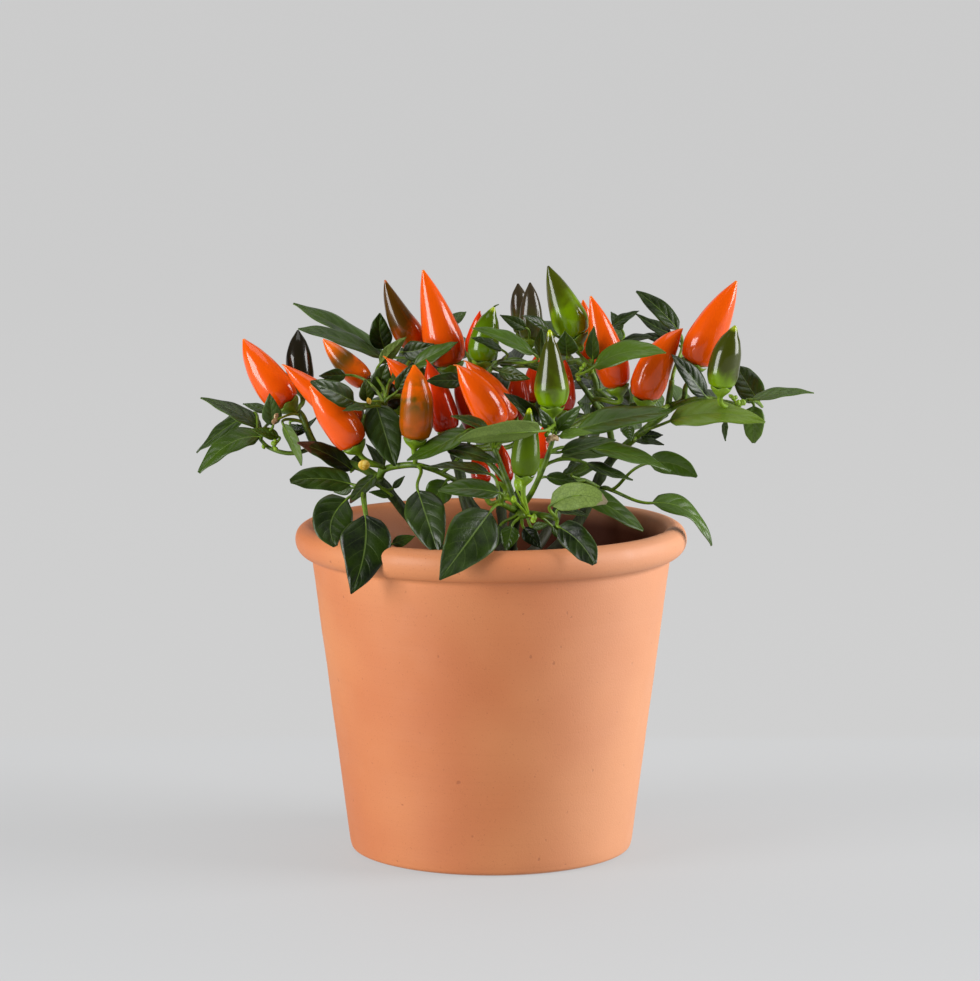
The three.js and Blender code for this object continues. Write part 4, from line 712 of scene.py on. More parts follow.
@dataclass(frozen=True)
class Eye:
    """The eye that the plant is laid out from, where the camera stands."""

    distance: float = 1800.0
    height: float = 407.3
    pitch: float = 0.138
    focal: float = 4187.8
    across: float = 491.05
    down: float = 490.5
    sheet: tuple[int, int] = (980, 981)

    def place(self, spots: Sequence, back: float = 0.0) -> Array:
        """Points seen at places.

        The sight line through (across, down) is followed until its y is the wanted depth.

        Args:
            spots: One place or an array of them, (..., 3).
            back: How far each is moved back along its sight line.

        Returns:
            Points in mm, (..., 3).
        """
        spots = np.asarray(spots, dtype=float)
        side = (spots[..., 0] - self.across) / self.focal
        rise = (self.down - spots[..., 1]) / self.focal
        cos, sin = math.cos(self.pitch), math.sin(self.pitch)
        depth = spots[..., 2] + back
        away = depth + self.distance
        drop = away * (rise * cos - sin) / (cos + rise * sin)
        return np.stack((side * (away * cos - drop * sin), depth, self.height + drop), axis=-1)

    def seen(self, points: Array) -> Array:
        """Where points are seen, the reverse of placing them.

        Args:
            points: Points in mm, (..., 3).

        Returns:
            Across and down on the sheet, (..., 2).
        """
        cos, sin = math.cos(self.pitch), math.sin(self.pitch)
        away = points[..., 1] + self.distance
        drop = points[..., 2] - self.height
        far = away * cos - drop * sin
        return np.stack((self.across + self.focal * points[..., 0] / far,
                         self.down - self.focal * (away * sin + drop * cos) / far), axis=-1)

    def towards(self, point: Array) -> Array:
        """Unit way from a point to the eye."""
        return unit(np.array((0.0, -self.distance, self.height)) - point)


EYE = Eye()


@dataclass(frozen=True)
class Blade:
    """A leaf's blade in place: its spine, the way its face looks, and its width."""

    row: Leaf
    spine: Bow
    normal: Array
    width: float

    def at(self, t: Array, side: Array, rise: Array) -> Array:
        """Points of the blade.

        Spine point + side way times (side times half width times cos fold) + upward way times
        (|side| times half width times sin fold + rise).

        Args:
            t: Shares of the length, (m,).
            side: Shares of the half width, -1 to 1, (n,).
            rise: Lift off the folded blade in mm, that broadcasts to (m, n).

        Returns:
            Points, (m, n, 3).
        """
        ways = self.spine.ways(t)
        up = square(self.normal, ways)
        out = np.cross(up, ways)
        half = np.interp(t, *outline_of(BLADE_OUTLINE, self.row.full).T)[:, None] * self.width / 2
        shift = side * half * math.cos(BLADE_FOLD)
        lift = np.abs(side) * half * math.sin(BLADE_FOLD) + rise
        return (self.spine.points(t)[:, None] + shift[..., None] * out[:, None]
                + lift[..., None] * up[:, None])


def blade_of(row: Leaf, back: float) -> Blade:
    """The blade of a leaf's row, moved back.

    Its face leans from the eye's way until the true width looks as wide as the row says, and of
    the two leans the one that looks further up is taken, or for an underside the other.

    Args:
        row: The leaf's row.
        back: How far it is moved back along its sight lines.

    Returns:
        The blade in place.
    """
    tip, base = EYE.place(row.tip, back), EYE.place(row.base, back)
    length = float(np.linalg.norm(tip - base))
    run = (tip - base) / length
    width = row.wide or max(BLADE_RATIO * length, row.shown)
    facing = square(EYE.towards(base), run)
    across = np.cross(run, facing)
    lean = 0.0 if row.wide else math.acos(min(1.0, row.shown / width))
    one = facing * math.cos(lean) + across * math.sin(lean)
    other = facing * math.cos(lean) - across * math.sin(lean)
    higher, lower = (one, other) if one[2] > other[2] else (other, one)
    normal = -lower if row.under else higher
    middle = (EYE.place(row.mid, back) if row.mid
              else (tip + base) / 2 + normal * BLADE_ARCH * length)
    return Blade(row, Bow(base, middle, tip), normal, width)


def axis_of(row: Pepper, back: float) -> Bow:
    """A pepper's axis, moved back and bowed sideways as seen from the eye.

    Args:
        row: The pepper's row.
        back: How far it is moved back along its sight lines.

    Returns:
        The axis in place.
    """
    tip, base = EYE.place(row.tip, back), EYE.place(row.base, back)
    run = unit(tip - base)
    side = np.cross(run, square(EYE.towards(base), run))
    return Bow(base, (tip + base) / 2 + side * row.bend, tip)


class Layout:
    """Stands every leaf and pepper clear of the rest.

    The nearest to the eye comes first. Each is stepped back along its sight lines until its
    samples are clear of the limbs and of all that stands already.
    """

    step = 1.5
    most_steps = 14
    clear = 1.3
    near = 6.0
    samples = 10
    shares = np.array((-0.9, -0.45, 0, 0.45, 0.9))

    def __init__(self) -> None:
        """Place all the rows."""
        self.blades: dict[Leaf, Blade] = {}
        self.axes: dict[Pepper, Bow] = {}
        lines = [(through(EYE.place(limb.line), FINE_STEPS), limb.radius[0]) for limb in LIMBS]
        self._standing = np.concatenate([self._facts(line, radius) for line, radius in lines])
        rows = [*PEPPERS, *(leaf for spray in SPRAYS.values() for leaf in spray.leaves)]
        for row in sorted(rows, key=lambda r: r.tip[2] + r.base[2]):
            back = self._settle(row)
            if isinstance(row, Leaf):
                self.blades[row] = blade_of(row, back)
            else:
                self.axes[row] = axis_of(row, back)

    @staticmethod
    def _facts(points: Array, thick: float | Array, at: Array | None = None) -> Array:
        """What a row's samples say of it.

        Args:
            points: The samples.
            thick: How thick the piece is at each, from its middle.
            at: Where they are seen, if not where the eye sees the points.

        Returns:
            Across, down, depth and thickness, (n, 4).
        """
        points = points.reshape(-1, 3)
        at = EYE.seen(points) if at is None else at
        thick = np.broadcast_to(thick, len(points))
        return np.column_stack((at, points[:, 1], thick))

    def _sampled(self, row: Leaf | Pepper, back: float) -> Array:
        """Samples over a blade or a pepper that is moved back.

        Args:
            row: Its row.
            back: How far it is moved back.

        Returns:
            Across, down, depth and thickness, (n, 4).
        """
        if isinstance(row, Leaf):
            t = np.arange(1, self.samples) / self.samples
            points = blade_of(row, back).at(t, self.shares, np.zeros((1, 1)))
            return self._facts(points, BLADE_THICKNESS / 2)
        t = np.arange(self.samples + 1) / self.samples
        points = axis_of(row, back).points(t)
        radius = np.interp(t, *outline_of(FRUIT_OUTLINE, row.full).T)[:, None] * row.width / 2
        at = np.repeat(EYE.seen(points)[:, None], len(self.shares), axis=1)
        at[..., 0] += self.shares * radius * EYE.focal / EYE.distance
        thick = (radius * np.sqrt(1 - self.shares**2)).ravel()
        return self._facts(np.repeat(points, len(self.shares), axis=0), thick, at.reshape(-1, 2))

    def _settle(self, row: Leaf | Pepper) -> float:
        """Step a row back until it is clear, or to where it touches least, and let it stand.

        Args:
            row: The row.

        Returns:
            How far it is moved back.
        """
        best: tuple[float, Array, float] = (math.inf, np.empty((0, 4)), 0.0)
        for count in range(self.most_steps + 1):
            facts = self._sampled(row, count * self.step)
            gaps = np.abs(facts[:, None, :3] - self._standing[None, :, :3])
            reach = facts[:, None, 3] + self._standing[None, :, 3] + self.clear
            touching = np.all(gaps[..., :2] < self.near, axis=-1) & (gaps[..., 2] < reach)
            hits = int(touching.any(axis=1).sum())
            if hits < best[0]:
                best = (hits, facts, count * self.step)
            if hits == 0:
                break
        self._standing = np.concatenate((self._standing, best[1]))
        return best[2]


class Weave:
    """Gathers the closed skins of one piece and puts them into one mesh."""

    def __init__(self) -> None:
        """Start with nothing."""
        self._points: list[Array] = []
        self._facts: list[Array] = []
        self._corners: dict[int, list[NDArray[np.int64]]] = {3: [], 4: []}
        self._maps: dict[int, list[Array]] = {3: [], 4: []}
        self._finish: dict[int, list[NDArray[np.int64]]] = {3: [], 4: []}
        self._count = 0

    def skin(self, rings: Array, finish: int = 0, facts: Array | None = None,
             around: Array | None = None, along: Array | None = None) -> None:
        """Add a skin of rings, closed at both ends by a fan.

        Ring point (i, k) joins (i, k+1), (i+1, k+1) and (i+1, k), and each end ring joins a pole
        at its mean.

        Args:
            rings: Points, (m, n, 3), anticlockwise about the way the rings run.
            finish: Which of the piece's finishes the skin takes.
            facts: Three numbers for each point that the finish reads, that broadcast to (m, n, 3).
            around: First map coordinate of each column, the first one again at the end, (n + 1,).
            along: Second map coordinate of each ring, (m,).
        """
        m, n = rings.shape[:2]
        around = np.linspace(0, 1, n + 1) if around is None else around
        along = np.linspace(0, 1, m) if along is None else along
        facts = np.broadcast_to(np.zeros(3) if facts is None else facts, (m, n, 3))
        poles = rings[[0, -1]].mean(axis=1)
        self._points += [rings.reshape(-1, 3), poles]
        self._facts += [facts.reshape(-1, 3), facts[[0, -1]].mean(axis=1)]
        i, k = np.meshgrid(np.arange(m - 1), np.arange(n), indexing="ij")
        i, k = i.ravel(), k.ravel()
        row, col = np.stack((i, i, i + 1, i + 1)), np.stack((k, k + 1, k + 1, k))
        self._keep(4, row * n + col % n, around[col], along[row], finish)
        k = np.arange(n)
        low, high = np.full(n, m * n), np.full(n, m * n + 1)
        last = (m - 1) * n
        fan = np.concatenate((np.stack((low, (k + 1) % n, k)),
                              np.stack((high, last + k, last + (k + 1) % n))), axis=1)
        mean = (around[k] + around[k + 1]) / 2
        u = np.concatenate((np.stack((mean, around[k + 1], around[k])),
                            np.stack((mean, around[k], around[k + 1]))), axis=1)
        v = np.repeat(along[[0, -1]], n)[None].repeat(3, axis=0)
        self._keep(3, fan, u, v, finish)
        self._count += m * n + 2

    def _keep(self, sides: int, corners: Array, u: Array, v: Array, finish: int) -> None:
        """Keep the faces of a skin.

        Args:
            sides: Corners of each face.
            corners: Their points, (sides, faces).
            u: First map coordinate of each corner.
            v: Second map coordinate of each corner.
            finish: Which of the piece's finishes they take.
        """
        self._corners[sides].append(corners.T + self._count)
        self._maps[sides].append(np.stack((u.T, v.T), axis=-1))
        self._finish[sides].append(np.full(corners.shape[1], finish))

    def piece(self, name: str, finishes: Sequence[Material], slot: str,
              *nodes: str) -> Solid:
        """Make the piece.

        Args:
            name: The piece's name.
            finishes: Its materials, in the order that the skins name them.
            slot: A slot name, passed on to mount.
            nodes: The solids that it stands for.

        Returns:
            The new object, riding on the part.
        """
        piece = self.loose(name)
        for material in finishes:
            piece.data.materials.append(material)
        return mount(piece, slot, *nodes)

    def loose(self, name: str) -> Solid:
        """Put the skins into the mesh of a new object.

        Args:
            name: The object's name.

        Returns:
            The object, which isn't in the scene yet.
        """
        mesh = bpy.data.meshes.new(name)
        points = np.concatenate(self._points) * MM
        mesh.vertices.add(len(points))
        mesh.vertices.foreach_set("co", points.ravel())
        quads, tris = (np.concatenate(self._corners[n]) for n in (4, 3))
        mesh.loops.add(quads.size + tris.size)
        mesh.loops.foreach_set("vertex_index", np.concatenate((quads.ravel(), tris.ravel())))
        mesh.polygons.add(len(quads) + len(tris))
        starts = np.concatenate((np.arange(len(quads)) * 4, quads.size + np.arange(len(tris)) * 3))
        mesh.polygons.foreach_set("loop_start", starts)
        finish = np.concatenate(self._finish[4] + self._finish[3])
        mesh.polygons.foreach_set("material_index", finish)
        mesh.polygons.foreach_set("use_smooth", np.ones(len(finish), dtype=bool))
        layer = mesh.uv_layers.new(name="map")
        maps = [np.concatenate(self._maps[n]).ravel() for n in (4, 3)]
        layer.data.foreach_set("uv", np.concatenate(maps))
        kept = mesh.attributes.new("facts", "FLOAT_VECTOR", "POINT")
        kept.data.foreach_set("vector", np.concatenate(self._facts).ravel())
        mesh.update(calc_edges=True)
        return bpy.data.objects.new(name, mesh)


def mount(piece: Solid, slot: str, *nodes: str) -> Solid:
    """Put a piece in the scene, riding on the part, and report it.

    Args:
        piece: The object.
        slot: Not used.
        nodes: The solids that it stands for.

    Returns:
        The same object.
    """
    if piece.name not in bpy.context.scene.collection.objects:
        bpy.context.scene.collection.objects.link(piece)
    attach(piece, "root")
    if nodes:
        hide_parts(*nodes)
    LOG.info("%s: %d faces", piece.name, len(piece.data.polygons))
    return piece


class Grain:
    """Soft random field: a sum of waves of seeded ways, lengths and phases."""

    def __init__(self, seed: int, length: float, waves: int = 12) -> None:
        """Draw the waves.

        Args:
            seed: Seed of the draw.
            length: Typical wave length in mm.
            waves: Number of waves.
        """
        draw = np.random.default_rng(seed)
        ways = unit(draw.normal(size=(waves, 3)))
        self._ways = ways * (2 * np.pi / (length * draw.uniform(0.6, 1.6, (waves, 1))))
        self._phases = draw.uniform(0, 2 * np.pi, waves)

    def at(self, points: Array) -> Array:
        """The field: sin(way . point + phase), summed and divided by sqrt(2 waves)."""
        waves = np.sin(points @ self._ways.T + self._phases)
        return waves.sum(-1) / math.sqrt(2 * len(self._phases))


def woody(path: Array, radii: Array, sides: int, grain: Grain) -> Array:
    """Rings of a woody length, whose radius is multiplied by 1 + 0.05 times a grain."""
    rough = grain.at(hoops(path, radii, sides))
    return hoops(path, radii[:, None] * (1 + 0.05 * rough), sides)


class Graph:
    """One material, with short calls to wire its nodes."""

    def __init__(self, name: str, roughness: float, specular: float) -> None:
        """Start a material.

        Args:
            name: Its name.
            roughness: Roughness of its surface.
            specular: Specular level of its surface.
        """
        self.material = bpy.data.materials.new(name)
        self.material.use_nodes = True
        self.tree = self.material.node_tree
        self.shader = self.tree.nodes["Principled BSDF"]
        self.feed("Roughness", roughness)
        self.feed("Specular IOR Level", specular)

    def join(self, entry: Socket, value: Value) -> None:
        """Lead a socket to an input, or give the input a value.

        Args:
            entry: The input.
            value: What it gets.
        """
        if isinstance(value, Socket):
            self.tree.links.new(value, entry)
        else:
            entry.default_value = value

    def feed(self, name: str, value: Value) -> None:
        """Lead a socket to one of the shader's inputs, or give that a value."""
        self.join(self.shader.inputs[name], value)

    def add(self, kind: str, inputs: dict[str | int, Value], output: str | int = 0,
            **settings: object) -> Socket:
        """Add a node.

        Args:
            kind: The node's type, without its ShaderNode.
            inputs: Values or sockets for its inputs.
            output: The output that is wanted.
            settings: Properties of the node.

        Returns:
            That output.
        """
        node = self.tree.nodes.new("ShaderNode" + kind)
        for key, value in settings.items():
            setattr(node, key, value)
        for key, value in inputs.items():
            self.join(node.inputs[key], value)
        return node.outputs[output]

    def math(self, operation: str, *values: Value, clamp: bool = False) -> Socket:
        """One step of arithmetic."""
        return self.add("Math", dict(enumerate(values)), operation=operation, use_clamp=clamp)

    def plus(self, first: Value, second: Value, clamp: bool = False) -> Socket:
        """Sum of two numbers, kept to 0 to 1 if clamped."""
        return self.math("ADD", first, second, clamp=clamp)

    def less(self, first: Value, second: Value) -> Socket:
        """The first number less the second."""
        return self.math("SUBTRACT", first, second)

    def times(self, first: Value, second: Value) -> Socket:
        """Product of two numbers."""
        return self.math("MULTIPLY", first, second)

    def line(self, value: Value, slope: Value, start: Value) -> Socket:
        """A value times a slope, plus a start."""
        return self.math("MULTIPLY_ADD", value, slope, start)

    def rise(self, value: Value, low: float, high: float, start: float = 0.0,
             end: float = 1.0) -> Socket:
        """Smooth rise from start to end while a value goes from low to high."""
        inputs = {"Value": value, "From Min": low, "From Max": high, "To Min": start, "To Max": end}
        return self.add("MapRange", inputs, interpolation_type="SMOOTHSTEP")

    def fall(self, value: Value, low: float, high: float) -> Socket:
        """Smooth fall from 1 to 0 while a value goes from low to high."""
        return self.rise(value, low, high, 1.0, 0.0)

    def mix(self, share: Value, first: Value, second: Value) -> Socket:
        """Mix of two colours."""
        return self.add("Mix", {0: share, 6: first, 7: second}, 2, data_type="RGBA")

    def here(self) -> Socket:
        """The point's place in the object's own space, in metres."""
        return self.add("TexCoord", {}, "Object")

    def noise(self, scale: float, detail: float = 3.0, stretch: tuple | None = None,
              distortion: float = 0.0) -> Socket:
        """Noise over the object's own space.

        Args:
            scale: Waves per metre.
            detail: How many finer layers it has.
            stretch: Waves per metre along each axis, times the scale.
            distortion: How far it is warped.

        Returns:
            The noise, about 0.5.
        """
        at = self.here()
        if stretch:
            at = self.add("Mapping", {"Vector": at, "Scale": stretch})
        inputs = {"Vector": at, "Scale": scale, "Detail": detail, "Distortion": distortion}
        return self.add("TexNoise", inputs)

    def sway(self, scale: float, detail: float, reach: float) -> Socket:
        """Noise as a number from -reach to reach."""
        return self.rise(self.noise(scale, detail), 0.3, 0.7, -reach, reach)

    def split(self, vector: Socket) -> list[Socket]:
        """The three parts of a vector."""
        return list(self.add("SeparateXYZ", {0: vector}).node.outputs)

    def facts(self) -> list[Socket]:
        """The three numbers that a skin's points carry."""
        return self.split(self.add("Attribute", {}, "Vector", attribute_name="facts"))

    def map(self) -> list[Socket]:
        """Share around and share along, from the piece's own map."""
        return self.split(self.add("UVMap", {}, 0, uv_map="map"))[:2]

    def bump(self, height: Socket, distance: float, strength: float) -> None:
        """Lead a height to the surface's normal. One of 1 stands distance metres high."""
        inputs = {"Height": height, "Distance": distance, "Strength": strength}
        self.feed("Normal", self.add("Bump", inputs))

    def paint(self, colour: Value, roughness: Value | None = None) -> Material:
        """Finish the material.

        Args:
            colour: Its colour.
            roughness: Its roughness, where that varies.

        Returns:
            The material.
        """
        self.feed("Base Color", colour)
        if roughness is not None:
            self.feed("Roughness", roughness)
        return self.material


@dataclass(frozen=True)
class Clay:
    """Unglazed fired clay: mottled, with faint rings of the wheel, specks and pits.

    It has a painted sheen, paler towards the right, and painted shade on the inner wall.
    Lengths are in metres, scales in waves per metre.
    """

    body: Colour = tint("BE6E40")
    pale: Colour = tint("C98050")
    deep: Colour = tint("A85E38")
    speck: Colour = tint("8A4526")
    # Painted shade: the dark colour of the inner wall.
    painted_shade: Colour = tint("3A1003")
    # Painted sheen: the pale colour of the pot's right side.
    painted_sheen: Colour = tint("D29C78")
    mottle_scale: float = 14.0
    ring_scales: tuple[float, float, float] = (22.0, 22.0, 900.0)
    ring_share: float = 0.07
    grit_scale: float = 1500.0
    grit_share: float = 0.4
    pit_scale: float = 330.0
    pit_share: float = 0.45
    # Across where the painted sheen rises, and how strong it gets.
    painted_sheen_across: Band = (0.0, 0.075)
    painted_sheen_share: float = 0.55
    painted_shade_share: float = 0.95
    sheen: float = 0.5
    painted_shade_specular: float = 0.1
    roughness: Band = (0.52, 0.68)
    relief: float = 0.00025
    wall_lean: float = 0.1295
    wall_middle: float = 0.058
    wall_soft: float = 0.001
    # Where the painted shade is strongest: towards the right, weaker on the left, lower down, less
    # at the crest.
    painted_shade_across: Band = (-0.04, 0.03)
    painted_shade_left: float = 0.4
    painted_shade_height: Band = (0.132, 0.142)
    painted_shade_crest: float = 0.6

    def material(self) -> Material:
        """Make the material.

        Returns:
            The material.
        """
        g = Graph("terracotta", self.roughness[1], self.sheen)
        colour = g.mix(g.rise(g.noise(self.mottle_scale, 2), 0.3, 0.75), self.body, self.pale)
        rings = g.noise(1, 4, self.ring_scales)
        colour = g.mix(g.times(g.rise(rings, 0.5, 0.75), self.ring_share), colour, self.deep)
        grit = g.noise(self.grit_scale, 2)
        colour = g.mix(g.times(g.rise(grit, 0.62, 0.78), self.grit_share), colour, self.speck)
        pits = g.rise(g.noise(self.pit_scale, 1), 0.74, 0.8, 0.0, self.pit_share)
        colour = g.mix(pits, colour, self.speck)
        # Painted sheen: the clay turns paler towards the right.
        painted_sheen = g.rise(g.split(g.here())[0], *self.painted_sheen_across, 0.0, self.painted_sheen_share)
        colour = g.mix(painted_sheen, colour, self.painted_sheen)
        # Painted shade on the inner wall, with less specular there.
        painted_shade_mask = self.painted_shade_mask(g)
        colour = g.mix(g.times(painted_shade_mask, self.painted_shade_share), colour, self.painted_shade)
        g.feed("Specular IOR Level", g.line(painted_shade_mask, self.painted_shade_specular - self.sheen, self.sheen))
        height = g.plus(g.times(rings, 0.25), g.times(grit, 0.6))
        g.bump(g.less(height, pits), self.relief, 0.6)
        return g.paint(colour, g.rise(g.noise(60, 3), 0.3, 0.7, *self.roughness))

    def painted_shade_mask(self, g: Graph) -> Socket:
        """Painted shade on the clay: the inner wall, most on the right and lower down.

        A point is inside where its radius less wall_lean times its height is under wall_middle.

        Args:
            g: The material's graph.

        Returns:
            0 with no painted shade to 1 with full painted shade.
        """
        x, y, z = g.split(g.here())
        radius = g.math("SQRT", g.plus(g.times(x, x), g.times(y, y)))
        reach = g.less(radius, g.times(z, self.wall_lean))
        inner = g.fall(reach, self.wall_middle - self.wall_soft, self.wall_middle + self.wall_soft)
        right = g.rise(x, *self.painted_shade_across, self.painted_shade_left, 1.0)
        low = g.rise(z, *self.painted_shade_height, 1.0, self.painted_shade_crest)
        return g.times(inner, g.times(right, low))


@dataclass(frozen=True)
class Mottled:
    """Matt matter that is mottled between two colours, and rough: soil, grains and petals.

    Its relief is the mottling's own, or that of pores at another scale.
    """

    name: str
    dark: Colour
    light: Colour
    roughness: float
    sheen: float
    scale: float
    detail: float = 3.0
    blend: Band = (0.35, 0.65)
    relief: float = 0.0003
    strength: float = 0.6
    pore_scale: float | None = None

    def material(self) -> Material:
        """Make the material.

        Returns:
            The material.
        """
        g = Graph(self.name, self.roughness, self.sheen)
        blotch = g.noise(self.scale, self.detail)
        pores = g.noise(self.pore_scale, self.detail) if self.pore_scale else blotch
        g.bump(pores, self.relief, self.strength)
        return g.paint(g.mix(g.rise(blotch, *self.blend), self.dark, self.light))


SOIL = Mottled("potting_soil", tint("1B120C"), tint("4A3424"), 0.92, 0.25, 900.0, 5.0, (0.4, 0.75),
               relief=0.0012, strength=0.8)
GRIT = Mottled("mineral_grain", tint("A8A297"), tint("D9D5CB"), 0.9, 0.3, 700.0, pore_scale=2500.0)
PETAL = Mottled("yellow_petal", tint("C89A20"), tint("ECD070"), 0.7, 0.2, 600.0)
WITHERED = Mottled("withered_flower", tint("7A5A3C"), tint("C0A880"), 0.7, 0.2, 600.0)


@dataclass(frozen=True)
class Bark:
    """Stem skin: green, turning brown and furrowed low on the trunk."""

    green: Colour = tint("1E2C0C")
    pale: Colour = tint("384A1A")
    brown: Colour = tint("2A2214")
    furrow_scales: tuple[float, float, float] = (900.0, 900.0, 90.0)
    brown_height: Band = (0.118, 0.158)
    brown_share: float = 0.85
    relief: float = 0.0006

    def material(self) -> Material:
        """Make the material.

        Returns:
            The material.
        """
        g = Graph("stem_bark", 0.6, 0.3)
        furrow = g.noise(1, 4, self.furrow_scales)
        colour = g.mix(g.rise(furrow, 0.4, 0.7), self.green, self.pale)
        low = g.fall(g.split(g.here())[2], *self.brown_height)
        low = g.plus(low, g.times(furrow, 0.25), clamp=True)
        colour = g.mix(g.times(low, self.brown_share), colour, self.brown)
        g.bump(furrow, self.relief, 0.5)
        return g.paint(colour)


@dataclass(frozen=True)
class Shoot:
    """Young green of twigs, leaf stalks, pedicels, calyxes and buds.

    The first fact is the share of the light green.
    """

    dark: Colour = tint("2C4210")
    light: Colour = tint("789814")
    blotch_scale: float = 350.0
    blotch: float = 0.2
    ridge_scales: tuple[float, float, float] = (2200.0, 2200.0, 500.0)
    relief: float = 0.0002

    def material(self) -> Material:
        """Make the material.

        Returns:
            The material.
        """
        g = Graph("green_shoot", 0.42, 0.35)
        blotch = g.sway(self.blotch_scale, 3, self.blotch)
        share = g.plus(g.facts()[0], blotch, clamp=True)
        g.bump(g.noise(1, 3, self.ridge_scales), self.relief, 0.4)
        return g.paint(g.mix(share, self.dark, self.light))


@dataclass(frozen=True)
class Veins:
    """How side veins leave the midrib: how many, how far they sweep forward, and their stagger."""

    count: float = 5.5
    sweep: float = 0.26
    bend: float = 1.2
    stagger: float = 0.45


VEINS = Veins()


@dataclass(frozen=True)
class LeafSkin:
    """Leaf: dark satin face with paler veins, light matt underside, brown where it dried.

    The facts are the leaf's lightness, 1 on its underside, and 1 where it dried.
    """

    dark: Colour = tint("061100")
    light: Colour = tint("425E0E")
    # Yellower green for the lightest marked leaves: partly young growth, partly painted light
    # shining through the blade.
    young_and_backlit: Colour = tint("5E7620")
    vein: Colour = tint("5C7230")
    dry: Colour = tint("4A3320")
    back_dark: Colour = tint("465C1E")
    back_light: Colour = tint("7A9040")
    back_dry: Colour = tint("857A60")
    mottle: float = 0.13
    # Lightness over which that partly painted backlit green takes over.
    young_and_backlit_light: Band = (0.9, 1.6)
    vein_share: float = 0.75
    rib_share: float = 0.22
    rim_share: float = 0.38
    net_scale: float = 700.0
    net_share: float = 0.05
    back_vein_share: float = 0.6
    back_net_share: float = 0.55
    fray: float = 0.2
    gloss: Band = (0.3, 0.44)
    back_matt: float = 0.2
    relief: float = 0.0003

    def material(self) -> Material:
        """Make the material.

        Returns:
            The material.
        """
        g = Graph("leaf_skin", self.gloss[1], 0.32)
        light, under, dried = g.facts()
        out, gap = self.lie(g)
        rib = g.times(g.fall(gap, 0.01, 0.055), g.fall(out, 0.55, 0.98))
        midrib = g.fall(out, 0.01, 0.05)
        cells = g.add("TexVoronoi", {"Vector": g.here(), "Scale": self.net_scale}, "Distance",
                      feature="DISTANCE_TO_EDGE")
        net = g.fall(cells, 0.0, 0.12)
        rim = g.rise(out, 0.93, 0.985, 0.0, self.rim_share)
        veins = g.math("MAXIMUM", midrib, rim)
        veins = g.math("MAXIMUM", veins, g.times(rib, self.rib_share))
        share = g.plus(light, g.sway(120, 4, self.mottle), clamp=True)
        face = g.mix(share, self.dark, self.light)
        # Partly young growth, partly painted light shining through the blade, on the lightest
        # leaves.
        face = g.mix(g.rise(light, *self.young_and_backlit_light), face, self.young_and_backlit)
        face = g.mix(g.times(veins, self.vein_share), face, self.vein)
        face = g.mix(g.times(net, self.net_share), face, self.vein)
        lines = g.math("MAXIMUM", g.times(veins, self.back_vein_share),
                       g.times(net, self.back_net_share))
        back = g.mix(lines, g.mix(share, self.back_dark, self.back_light), self.back_dark)
        worn = g.rise(g.plus(dried, g.sway(260, 3, self.fray)), 0.35, 0.6)
        worn = g.times(worn, g.math("GREATER_THAN", dried, 0.02))
        colour = g.mix(worn, g.mix(under, face, back), g.mix(under, self.dry, self.back_dry))
        puffs = g.times(g.rise(gap, 0.0, 0.42), g.fall(out, 0.6, 1.0))
        swell = g.line(g.noise(70, 2), 1.6, puffs)
        height = g.line(net, -0.2, g.line(rib, -0.5, g.line(midrib, -0.6, swell)))
        g.bump(height, self.relief, 0.32)
        gloss = g.rise(g.noise(90, 3), 0.3, 0.7, *self.gloss)
        return g.paint(colour, g.line(under, self.back_matt, gloss))

    @staticmethod
    def lie(g: Graph) -> tuple[Socket, Socket]:
        """How a point lies to the veins.

        Side veins stand at equal steps of (along - sweep times out to the power bend) times
        count, staggered from one side to the other.

        Args:
            g: The material's graph.

        Returns:
            How far out it is, 0 on the midrib to 1 at the rim, and how far from the nearest side
            vein, 0 to 0.5.
        """
        around, along = g.map()
        side = g.line(around, 2.0, -1.0)
        out = g.math("ABSOLUTE", side)
        swept = g.times(g.math("POWER", out, VEINS.bend), -VEINS.sweep)
        stagger = g.times(g.math("GREATER_THAN", side, 0.0), VEINS.stagger)
        phase = g.line(g.plus(along, swept), VEINS.count, stagger)
        return out, g.math("ABSOLUTE", g.less(g.math("FRACT", phase), 0.5))


